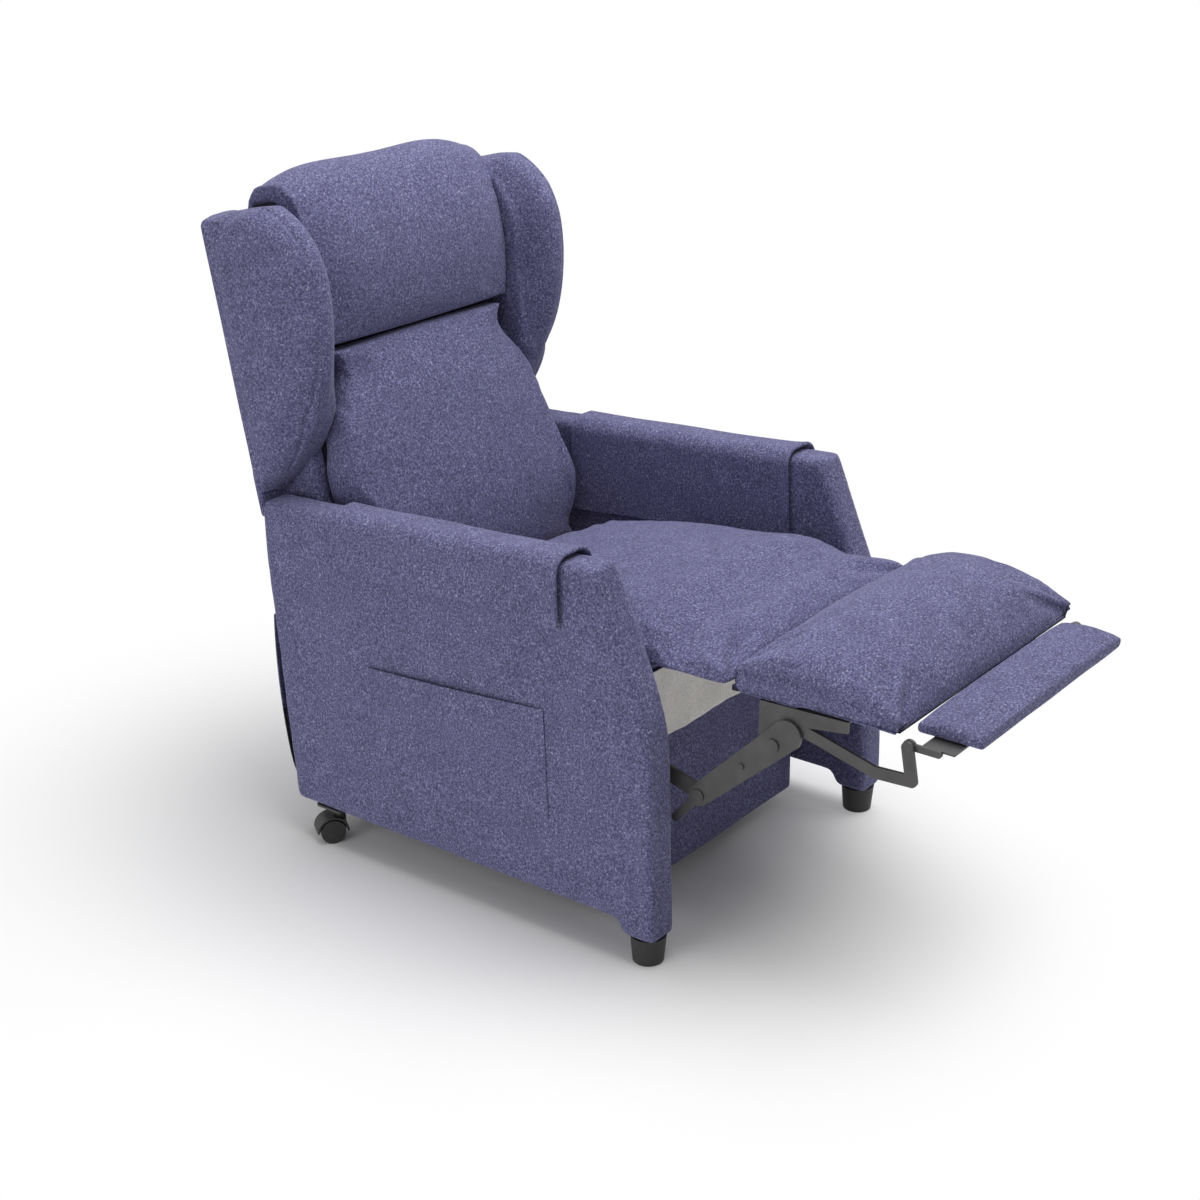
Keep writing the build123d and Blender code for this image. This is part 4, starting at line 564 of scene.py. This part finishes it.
def copied(name, nodes, fillers=(), lean=0.0):
    """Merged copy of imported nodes, set upright by their lean, with blocks that close gaps."""
    shape = bmesh.new()
    for node in nodes:
        shape.from_mesh(NODES[node].data)
    bmesh.ops.remove_doubles(shape, verts=shape.verts, dist=1e-5)
    turn = Matrix.Rotation(lean, 3, "X")
    bmesh.ops.rotate(shape, cent=BACK_PIVOT, matrix=turn, verts=shape.verts)
    for low, high in fillers:
        block = bmesh.ops.create_cube(shape, size=1)["verts"]
        low, high = Vector(low), Vector(high)
        bmesh.ops.scale(shape, vec=high - low, verts=block)
        bmesh.ops.translate(shape, vec=(low + high) / 2, verts=block)
    return new_piece(name, shape)


def swell(piece, held, cap):
    """Blow a skin up as cloth, keep the held points, and let no point move beyond the cap."""
    start = points(piece)
    group = piece.vertex_groups.new(name="held")
    group.add([int(index) for index in np.flatnonzero(held)], 1.0, "REPLACE")
    cloth = piece.modifiers.new("Swell", "CLOTH")
    cloth.settings.use_pressure = True
    cloth.settings.uniform_pressure_force = SWELL_PRESSURE
    cloth.settings.effector_weights.gravity = 0
    cloth.settings.vertex_group_mass = "held"
    cloth.settings.tension_stiffness = SWELL_STRETCH
    cloth.settings.compression_stiffness = SWELL_STRETCH
    cloth.settings.bending_stiffness = SWELL_BEND
    cloth.point_cache.frame_start = 1
    cloth.point_cache.frame_end = SWELL_FRAMES
    scene = bpy.context.scene
    for step in range(1, SWELL_FRAMES + 1):
        scene.frame_set(step)
    made_mesh(piece)
    scene.frame_set(1)
    move = points(piece) - start
    length = np.linalg.norm(move, axis=1)
    move *= np.minimum(1, cap / np.maximum(length, 1e-9))[:, None]
    put(piece, start + move)
    piece.vertex_groups.clear()


def stuffed(name, nodes, voxel, inset, cap, hold, fillers=(), rounds=5, lean=0.0):
    """Padded piece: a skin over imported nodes, drawn in a little, then swollen as cloth."""
    piece = copied(name, nodes, fillers, lean)
    remeshed(piece, voxel, rounds, lean)
    at = points(piece)
    out = normals(piece)
    held = hold(at, out)
    put(piece, at - out * (inset * ~held)[:, None])
    swell(piece, held, cap)
    soften(piece, 2)
    divided(piece)
    return piece


def spread(at, path):
    """Distance of every point from a chain of points in as many dimensions."""
    nearest = np.full(len(at), 1e9)
    for start, end in zip(path, path[1:]):
        start = np.array(start)
        run = np.array(end) - start
        share = np.clip((at - start) @ run / (run @ run), 0, 1)
        nearest = np.minimum(nearest, np.linalg.norm(at - start - share[:, None] * run, axis=1))
    return nearest


def seam(piece, distance, depth, width, where=1.0):
    """Draw the surface in along a line, as a row of stitches does."""
    pull = depth * np.exp(-((distance / width) ** 2)) * where
    put(piece, points(piece) - normals(piece) * pull[:, None])


def ripple(at, scale, phase):
    """Smooth wandering field between about -1 and 1."""
    x, y, z = (at * scale).T
    first = np.sin(x + 1.7 * np.sin(0.7 * y + phase))
    second = np.sin(y + 1.3 * np.sin(0.9 * z + 2 * phase))
    third = np.sin(z + 1.5 * np.sin(0.8 * x + 3 * phase))
    return (first + second + third) / 3


def unevenness(piece, height, scale, phase):
    """Slight wadding unevenness of a padded surface."""
    at = points(piece)
    put(piece, at + normals(piece) * (height * ripple(at, scale, phase))[:, None])


def dressed(piece, body, *nodes, slot="upholstery", finish=WOOL):
    """Finish, shading, body and replaced nodes of a soft piece; no body if none is given, and the
    slot is not used.
    """
    piece.data.materials.clear()
    piece.data.materials.append(finish)
    piece.data.polygons.foreach_set("use_smooth", [True] * len(piece.data.polygons))
    if body:
        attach(piece, body)
    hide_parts(*nodes)
    return piece


def leaf(name, columns, rows, place):
    """Sheet of cloth: a grid whose places from 0 to 1 along and across are mapped to points."""
    shape = bmesh.new()
    bmesh.ops.create_grid(shape, x_segments=columns, y_segments=rows, size=0.5)
    for vertex in shape.verts:
        vertex.co = place(vertex.co.x + 0.5, vertex.co.y + 0.5)
    bmesh.ops.recalc_face_normals(shape, faces=shape.faces)
    return new_piece(name, shape)


def thickened(piece, thickness, rounding):
    """Cloth thickness with a soft rim."""
    wall = piece.modifiers.new("Thickness", "SOLIDIFY")
    wall.thickness = thickness
    wall.offset = 0
    rim = piece.modifiers.new("Rim", "BEVEL")
    rim.width = rounding
    rim.segments = 2
    rim.angle_limit = math.radians(50)


# Arms


def arm_crown(y, z):
    """How far the padding of an arm's outer face stands out at a place."""
    at = np.column_stack((np.atleast_1d(y), np.atleast_1d(z)))
    rim = spread(at, ARM_OUTLINE + ARM_OUTLINE[:1])
    return ARM_CROWN * (1 - np.exp(-rim / ARM_CROWN_REACH))


def arm_cover(side, hand):
    """Wadded arm with rounded edges and a seam along its front edge."""
    shape = bmesh.new()
    outline = shape.faces.new([shape.verts.new((side * ARM_IN, y, z)) for y, z in ARM_OUTLINE])
    grown = bmesh.ops.extrude_face_region(shape, geom=[outline])["geom"]
    moved = [item for item in grown if isinstance(item, bmesh.types.BMVert)]
    bmesh.ops.translate(shape, vec=(side * (ARM_OUT - ARM_IN), 0, 0), verts=moved)
    bmesh.ops.recalc_face_normals(shape, faces=shape.faces)
    rims = [edge for edge in shape.edges if edge.verts[0].co.x == edge.verts[1].co.x]
    bmesh.ops.bevel(shape, geom=rims, offset=ARM_ROUNDING, segments=3, profile=0.5,
                    affect="EDGES", material=-1)
    piece = new_piece(f"arm_{hand}", shape)
    remeshed(piece, voxel=0.0068, rounds=3)
    divided(piece)
    at = points(piece)
    outer = np.clip((side * at[:, 0] - ARM_MIDDLE) / (ARM_OUT - ARM_MIDDLE), ARM_INNER_CROWN, 1)
    at[:, 0] += side * arm_crown(at[:, 1], at[:, 2]) * outer
    put(piece, at)
    line = spread(at[:, 1:], ARM_SEAM)
    seam(piece, line, depth=0.0022, width=0.0045, where=np.clip(outer * 4 - 2.5, 0, 1))
    unevenness(piece, height=0.0007, scale=26, phase=side * 1.3)
    dressed(piece, "chair", f"arm_cover_{hand}")


def cap_path(outer_drop, inner_drop, share):
    """Place and outward direction on a cap's section, from the outer hem to the inner one."""
    half = (ARM_OUT - ARM_IN) / 2 + CAP_THICKNESS / 2 + CAP_GAP
    top = CAP_THICKNESS / 2 + CAP_GAP
    side = CAP_CORNER - top
    arc = math.pi / 2 * CAP_CORNER
    flat = 2 * (half - CAP_CORNER)
    runs = (outer_drop - side, arc, flat, arc, inner_drop - side)
    length = share * sum(runs)
    if length < runs[0]:
        return half, -outer_drop + length, 1.0, 0.0
    length -= runs[0]
    if length < runs[1]:
        turn = length / CAP_CORNER
        across, up = math.cos(turn), math.sin(turn)
        x = half - CAP_CORNER + CAP_CORNER * across
        return x, top - CAP_CORNER + CAP_CORNER * up, across, up
    length -= runs[1]
    if length < runs[2]:
        return half - CAP_CORNER - length, top, 0.0, 1.0
    length -= runs[2]
    if length < runs[3]:
        turn = length / CAP_CORNER
        across, up = math.sin(turn), math.cos(turn)
        x = -half + CAP_CORNER - CAP_CORNER * across
        return x, top - CAP_CORNER + CAP_CORNER * up, -across, up
    length -= runs[3]
    return -half, -side - length, -1.0, 0.0


def arm_cap(side, hand):
    """Loose quilted cloth over the arm, its hem a little wavy and lifting at the front."""
    rear = Vector((side * ARM_MIDDLE, *ARM_TOP_REAR))
    run_y, run_z = ARM_TOP_FRONT[0] - ARM_TOP_REAR[0], ARM_TOP_FRONT[1] - ARM_TOP_REAR[1]
    along = Vector((0, run_y, run_z)).normalized()
    up = Vector((0, along.z, -along.y))
    start = rear + along * ((ARM_TOP_REAR[0] - CAP_REAR) / -along.y)

    def place(run, across):
        wave = math.sin(run * 9.5 + side) * 0.0022 + math.sin(run * 4.1 + 2) * 0.0026
        outer_drop = CAP_OUTER_DROP + wave + 0.004 * run
        inner_drop = CAP_INNER_DROP + 0.7 * wave
        x, height, out_x, out_up = cap_path(outer_drop, inner_drop, across)
        spot = start + along * (run * CAP_LENGTH) + up * height
        side_hem = math.exp(-min(across, 1 - across) / CAP_SIDE_HEM)
        front_hem = math.exp(-(1 - run) / CAP_FRONT_HEM)
        rear_hem = math.exp(-run / CAP_REAR_HEM)
        loose = CAP_SLACK + CAP_FRONT_LIFT * front_hem + CAP_REAR_LIFT * rear_hem
        loose += CAP_SIDE_LIFT * side_hem * (1 + math.sin(run * 11 + 3 * side))
        quilting = 1 + 0.4 * math.sin(run * 14 + across * 5)
        swell_out = CAP_PUFF * math.sin(math.pi * across) * quilting
        crown = float(arm_crown(spot.y, spot.z)[0]) if out_x > 0.5 else 0.0
        spot.x += side * (x + out_x * (loose + crown + swell_out))
        spot += up * (out_up * (loose * 0.8 + swell_out))
        return spot

    piece = leaf(f"cap_{hand}", columns=150, rows=96, place=place)
    thickened(piece, CAP_THICKNESS, rounding=0.0022)
    dressed(piece, "chair", f"arm_cap_{hand}")


def side_pocket():
    """Patch pocket on the outer face of the right arm, open and slightly slack along its top."""
    rear_top, front_top, front_low, rear_low = POCKET_CORNERS

    def place(run, rise):
        low = Vector(rear_low).lerp(Vector(front_low), run)
        high = Vector(rear_top).lerp(Vector(front_top), run)
        y, z = low.lerp(high, rise)
        edge = min(min(run, 1 - run) * POCKET_LENGTH, rise * POCKET_HEIGHT)
        stand = POCKET_STAND + POCKET_FULLNESS * (1 - math.exp(-edge / POCKET_RIM))
        stitch = (edge - POCKET_STITCH) / POCKET_STITCH_WIDTH
        stand -= POCKET_STITCH_DEPTH * math.exp(-(stitch ** 2))
        middle = math.sin(math.pi * run)
        slack = middle * math.exp(-(1 - rise) / POCKET_SLACK_REACH)
        lip = math.exp(-(1 - rise) / POCKET_LIP_REACH) * middle
        stand += POCKET_SLACK * slack + POCKET_LIP * lip
        return Vector((-ARM_OUT - float(arm_crown(y, z)[0]) - stand, y, z))

    piece = leaf("pocket", columns=120, rows=76, place=place)
    thickened(piece, thickness=0.0024, rounding=0.0009)
    dressed(piece, "chair", "side_pocket")


# Seat and leg rest


def seat_cover():
    """Seat and bridge under one cover, fullest near the front, with room for the hinge below."""

    def hold(at, out):
        low = at[:, 2] < SEAT_BASE + SEAT_HELD
        under = (out[:, 2] < SEAT_UNDERSIDE) & (at[:, 1] < SEAT_BRIDGE_Y)
        return low | under

    reach = SEAT_HALF - END_INSET
    low, high = SEAT_FILLER
    filler = ((-reach, *low), (reach, *high))
    piece = stuffed("seat_cover", ("seat_cushion", "bridge_pad"), voxel=0.0066, inset=0.006,
                    cap=0.014, hold=hold, fillers=(filler,), rounds=9)
    at = points(piece)
    top = np.clip((at[:, 2] - SEAT_CREST_FOOT) / SEAT_CREST_RAMP, 0, 1)
    top *= np.clip(normals(piece)[:, 2] * 2 + 0.6, 0, 1)
    front = np.exp(-((at[:, 1] - SEAT_CREST_Y) / SEAT_CREST_REACH) ** 2)
    at[:, 2] += SEAT_CREST * front * top
    put(piece, at)
    unevenness(piece, height=0.0011, scale=19, phase=0.4)
    dressed(piece, None, "seat_cushion", "bridge_pad")
    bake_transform(piece)


def leg_pad():
    """Leg pad with a full nose, drawn-out corners and a wavy seam low on its ends."""

    def hold(at, out):
        return out[:, 2] < LEG_UNDERSIDE

    reach = PAD_HALF - END_INSET
    low, high = LEG_NOSE
    wraps = [((-reach, *low), (reach, *high))]
    length, height = LEG_WRAP_SIZE
    for side in (1, -1):
        inner, outer = sorted((side * (BOARD_HALF + LEG_WRAP_GAP), side * reach))
        for step in range(LEG_WRAPS):
            rear = LEG_WRAP_START[0] - LEG_WRAP_STEP[0] * step
            floor = LEG_WRAP_START[1] + LEG_WRAP_STEP[1] * step
            wraps.append(((inner, rear - length, floor), (outer, rear, floor + height)))
    piece = stuffed("leg_cushion", ("leg_pad",), voxel=0.0056, inset=0.004, cap=0.012,
                    hold=hold, fillers=wraps, rounds=4)
    at = points(piece)
    out = normals(piece)
    crown = LEG_CROWN * np.exp(-(((at[:, 1] - LEG_CROWN_Y) / LEG_CROWN_REACH) ** 2))
    at[:, 2] += crown * np.clip((at[:, 2] - LEG_CROWN_FOOT) / LEG_CROWN_RAMP, 0, 1)
    end = np.clip((np.abs(at[:, 0]) - PAD_HALF + LEG_END_DEPTH) / LEG_END_RAMP, 0, 1)
    wave = 0.0022 * np.sin(at[:, 1] * 95) + 0.0014 * np.sin(at[:, 1] * 41 + 1)
    gap = at[:, 2] - np.interp(at[:, 1], *zip(*LEG_SEAM)) - wave
    above = LEG_BULGE * np.exp(-((gap - LEG_BULGE_RISE) / LEG_BULGE_REACH) ** 2)
    below = LEG_TUCK / (1 + np.exp(np.clip(gap / LEG_TUCK_REACH, -50, 50)))
    at += out * ((above - below) * end)[:, None]
    side = np.sign(at[:, :1])
    folded = np.hstack((np.abs(at[:, :1]), at[:, 1:]))
    corner = np.linalg.norm(folded - np.array(LEG_CORNER), axis=1)
    pull = LEG_CORNER_PULL * np.exp(-(corner / LEG_CORNER_REACH) ** 2)
    at += pull[:, None] * np.hstack((0.8 * side, 0 * side - 0.6, 0 * side))
    put(piece, at)
    seam(piece, np.abs(gap), depth=0.0040, width=0.0032, where=end)
    unevenness(piece, height=0.0009, scale=24, phase=1.1)
    dressed(piece, "leg_rest", "leg_pad")


def foot_flap():
    """Thin boxed flap with soft edges."""
    piece = copied("foot_cushion", ("foot_flap",))
    remeshed(piece, voxel=0.0042, rounds=2)
    divided(piece)
    unevenness(piece, height=0.0005, scale=40, phase=0.9)
    dressed(piece, "foot_flap", "foot_flap")


def front_lining():
    """Cream lining hung in front of the seat's rail, slightly wavy."""
    low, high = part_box("front_lining")
    middle = (low.y + high.y) / 2

    def place(run, rise):
        x = low.x + run * (high.x - low.x)
        z = low.z + rise * (high.z - low.z)
        wave = 0.0016 * math.sin(run * 31 + 1) * (1 - rise) + 0.0007 * math.sin(run * 67)
        hem = 0.0018 * math.sin(run * 23) * (1 - rise)
        return Vector((x, middle - 0.0008 + wave * 0.6, z + hem))

    piece = leaf("lining_cloth", columns=140, rows=30, place=place)
    thickened(piece, thickness=0.0014, rounding=0.0005)
    dressed(piece, "chair", "front_lining", slot="lining", finish=LINING)


def apron():
    """Covered board under the seat, its cloth pulled round the edges."""
    piece = copied("apron_cover", ("apron",))
    remeshed(piece, voxel=0.0055, rounds=3)
    divided(piece)
    unevenness(piece, height=0.0008, scale=30, phase=2.2)
    dressed(piece, "chair", "apron")


def drop_cloth():
    """Cloth behind the chair, gathered on elastic, slack along its sides."""
    low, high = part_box("drop_cloth")
    height = high.z - low.z

    def place(run, rise):
        z = low.z + rise * height
        fall = 1 - rise
        rear = ARM_REAR_FOOT[0] + ARM_REAR_RUN[0] * (z - ARM_REAR_FOOT[1]) / ARM_REAR_RUN[1]
        wander = math.sin(run * math.tau * DROP_FOLDS + 0.6 * math.sin(run * 9))
        folds = wander * (DROP_TOP_FOLD + DROP_FOLD_GROWTH * fall)
        belly = DROP_BELLY * math.sin(math.pi * min(1, fall * 1.04)) ** 0.8
        tuck = DROP_TUCK * math.exp(-rise / DROP_TUCK_REACH)
        width = (high.x - low.x) * (1 - DROP_GATHER * math.exp(-rise / DROP_GATHER_REACH))
        return Vector(((run - 0.5) * width, rear + DROP_GAP + belly * 0.9 + folds - tuck, z))

    piece = leaf("back_drop_cloth", columns=220, rows=60, place=place)
    thickened(piece, thickness=0.0022, rounding=0.0008)
    dressed(piece, "chair", "drop_cloth")
    piece.data.materials.append(ELASTIC)
    for face in piece.data.polygons:
        at = face.center
        side = abs(at.x) > high.x - ELASTIC_WIDTH and at.z < low.z + ELASTIC_SHARE * height
        if side or at.z < low.z + ELASTIC_HEM:
            face.material_index = 1


# Back


def back_places(at):
    """Distances of points up the back and forward from its pivot."""
    away = at - np.array(BACK_PIVOT)
    return away @ np.array(BACK_UP), away @ np.array(BACK_FORWARD)


def lumbar_cushion():
    """Lower cushion of the back, widened where its sides show under the wings."""

    def hold(at, out):
        behind = out @ np.array(BACK_FORWARD) < LUMBAR_BEHIND
        return behind | (np.abs(at[:, 0]) > BACK_HALF - 0.008)

    piece = stuffed("lumbar_pad", ("lumbar_cushion",), voxel=0.0062, inset=0.004, cap=0.013,
                    hold=hold, rounds=6, lean=BACK_TILT)
    at = points(piece)
    rise = back_places(at)[0]
    widen = LUMBAR_WIDENING * np.exp(-(((rise - LUMBAR_WIDEST) / LUMBAR_REACH) ** 2))
    widen *= (at[:, 0] / BACK_HALF) ** 4
    at[:, 0] += np.sign(at[:, 0]) * np.minimum(widen, LUMBAR_WIDENING)
    put(piece, at)
    unevenness(piece, height=0.0010, scale=18, phase=0.2)
    dressed(piece, "back", "lumbar_cushion")


def head_pillow():
    """Head pillow above the seam, rolled over the top of the back."""

    def hold(at, out):
        rise, depth = back_places(at)
        forward = out @ np.array(BACK_FORWARD)
        inside = (depth > BACK_REAR - 0.004) & (depth < BACK_FACE + 0.006)
        inside &= rise < BACK_TOP + 0.008
        inside |= np.abs(at[:, 0]) > BACK_HALF - 0.006
        return inside | ((forward < PILLOW_BEHIND) & (depth > -0.05) & (rise < BACK_TOP))

    piece = stuffed("head_cushion", ("head_pillow",), voxel=0.0058, inset=0.004, cap=0.013,
                    hold=hold, rounds=5, lean=BACK_TILT)
    unevenness(piece, height=0.0008, scale=22, phase=0.7)
    dressed(piece, "back", "head_pillow")


def wing(side, hand):
    """Side wing with a full rounded front and a seam along it."""

    def hold(at, out):
        depth = back_places(at)[1]
        return (depth < BACK_REAR + 0.012) | (side * at[:, 0] < WING_ROOT + 0.004)

    piece = stuffed(f"wing_cushion_{hand}", (f"wing_{hand}",), voxel=0.0056, inset=0.003,
                    cap=0.008, hold=hold, rounds=6, lean=BACK_TILT)
    line = np.abs(side * points(piece)[:, 0] - WING_SEAM)
    depth = back_places(points(piece))[1]
    front = np.clip((depth - WING_SEAM_START) / WING_SEAM_RAMP, 0, 1)
    seam(piece, line, depth=0.0030, width=0.0034, where=front)
    unevenness(piece, height=0.0007, scale=25, phase=2.0 + side)
    dressed(piece, "back", f"wing_{hand}")


def back_panel():
    """Covered panel that closes the back behind, and the gaps below the wings."""
    closers = []
    for side in (1, -1):
        for near, far, front, rear, low, high in WING_CLOSERS:
            inner, outer = sorted((side * near, side * far))
            closers.append(((inner, front, low), (outer, rear, high)))
    piece = copied("back_cover", ("back_rear_panel",), closers, BACK_TILT)
    remeshed(piece, voxel=0.0055, rounds=4, lean=BACK_TILT)
    divided(piece)
    at = points(piece)
    rise = back_places(at)[0]
    rim = np.minimum(BACK_HALF - np.abs(at[:, 0]), np.minimum(rise - BACK_FOOT, BACK_TOP - rise))
    behind = np.clip(-(normals(piece) @ np.array(BACK_FORWARD)), 0, 1)
    crown = BACK_CROWN * (1 - np.exp(-np.maximum(rim, 0) / BACK_CROWN_REACH)) * behind
    put(piece, at - np.array(BACK_FORWARD) * crown[:, None])
    unevenness(piece, height=0.0008, scale=21, phase=1.9)
    dressed(piece, "back", "back_rear_panel")


# Studio


def studio():
    """Pale floor that fades to white, soft light from above and from the right, and the camera."""
    shape = bmesh.new()
    bmesh.ops.create_circle(shape, cap_ends=True, segments=96, radius=FLOOR_RADIUS)
    floor = new_piece("floor", shape)
    ground = Finish("pale_floor", Specular_IOR_Level=0.1)
    place = ground.place()
    ends = {0: place, 1: FLOOR_SHADE}
    away = ground.node("ShaderNodeVectorMath", {"operation": "DISTANCE"}, ends, "Value")
    fade = ground.step(away, *FLOOR_FADE)
    ground.coat(Base_Color=(0.95, 0.95, 0.95, 1), Roughness=0.9)
    white = ground.node("ShaderNodeEmission", None, {"Color": (1, 1, 1, 1), "Strength": 1.0})
    shader = Value(ground, ground.shader.outputs[0])
    shares = {0: fade * ground.seen(), 1: shader, 2: white}
    mixed = ground.node("ShaderNodeMixShader", None, shares)
    ground.feed(ground.tree.nodes["Material Output"].inputs["Surface"], mixed)
    floor.data.materials.append(ground.material)

    world = bpy.data.worlds.new("studio")
    bpy.context.scene.world = world
    world.use_nodes = True
    sky = Nodes(world.node_tree)
    glow = sky.node("ShaderNodeBackground", None, {"Color": (1, 1, 1, 1), "Strength": WORLD_GLOW})
    white = sky.node("ShaderNodeBackground", None, {"Color": (1, 1, 1, 1), "Strength": 1.0})
    both = sky.node("ShaderNodeMixShader", None, {0: sky.seen(), 1: glow, 2: white})
    sky.feed(sky.tree.nodes["World Output"].inputs["Surface"], both)

    for name, spot, aim, size, power in LAMPS:
        light = bpy.data.lights.new(name, "AREA")
        light.shape = "SQUARE"
        light.size = size
        light.energy = power
        lamp = bpy.data.objects.new(name, light)
        lamp.location = spot
        lamp.rotation_euler = (Vector(aim) - Vector(spot)).to_track_quat("-Z", "Y").to_euler()
        bpy.context.scene.collection.objects.link(lamp)

    eye = bpy.data.cameras.new("camera")
    eye.lens = CAMERA_LENS
    eye.sensor_width = CAMERA_SENSOR
    camera = bpy.data.objects.new("camera", eye)
    turn, tip = math.radians(CAMERA_AZIMUTH), math.radians(CAMERA_ELEVATION)
    level = math.cos(tip)
    back = Vector((math.sin(turn) * level, -math.cos(turn) * level, math.sin(tip)))
    camera.location = CAMERA_PLACE
    camera.rotation_euler = (-back).to_track_quat("-Z", "Y").to_euler()
    bpy.context.scene.collection.objects.link(camera)
    bpy.context.scene.camera = camera
    bpy.context.scene.view_settings.view_transform = "Standard"


studio()
dress_frame()
for side, hand in SIDES:
    arm_cover(side, hand)
    arm_cap(side, hand)
    wing(side, hand)
side_pocket()
seat_cover()
leg_pad()
foot_flap()
front_lining()
apron()
drop_cloth()
lumbar_cushion()
head_pillow()
back_panel()
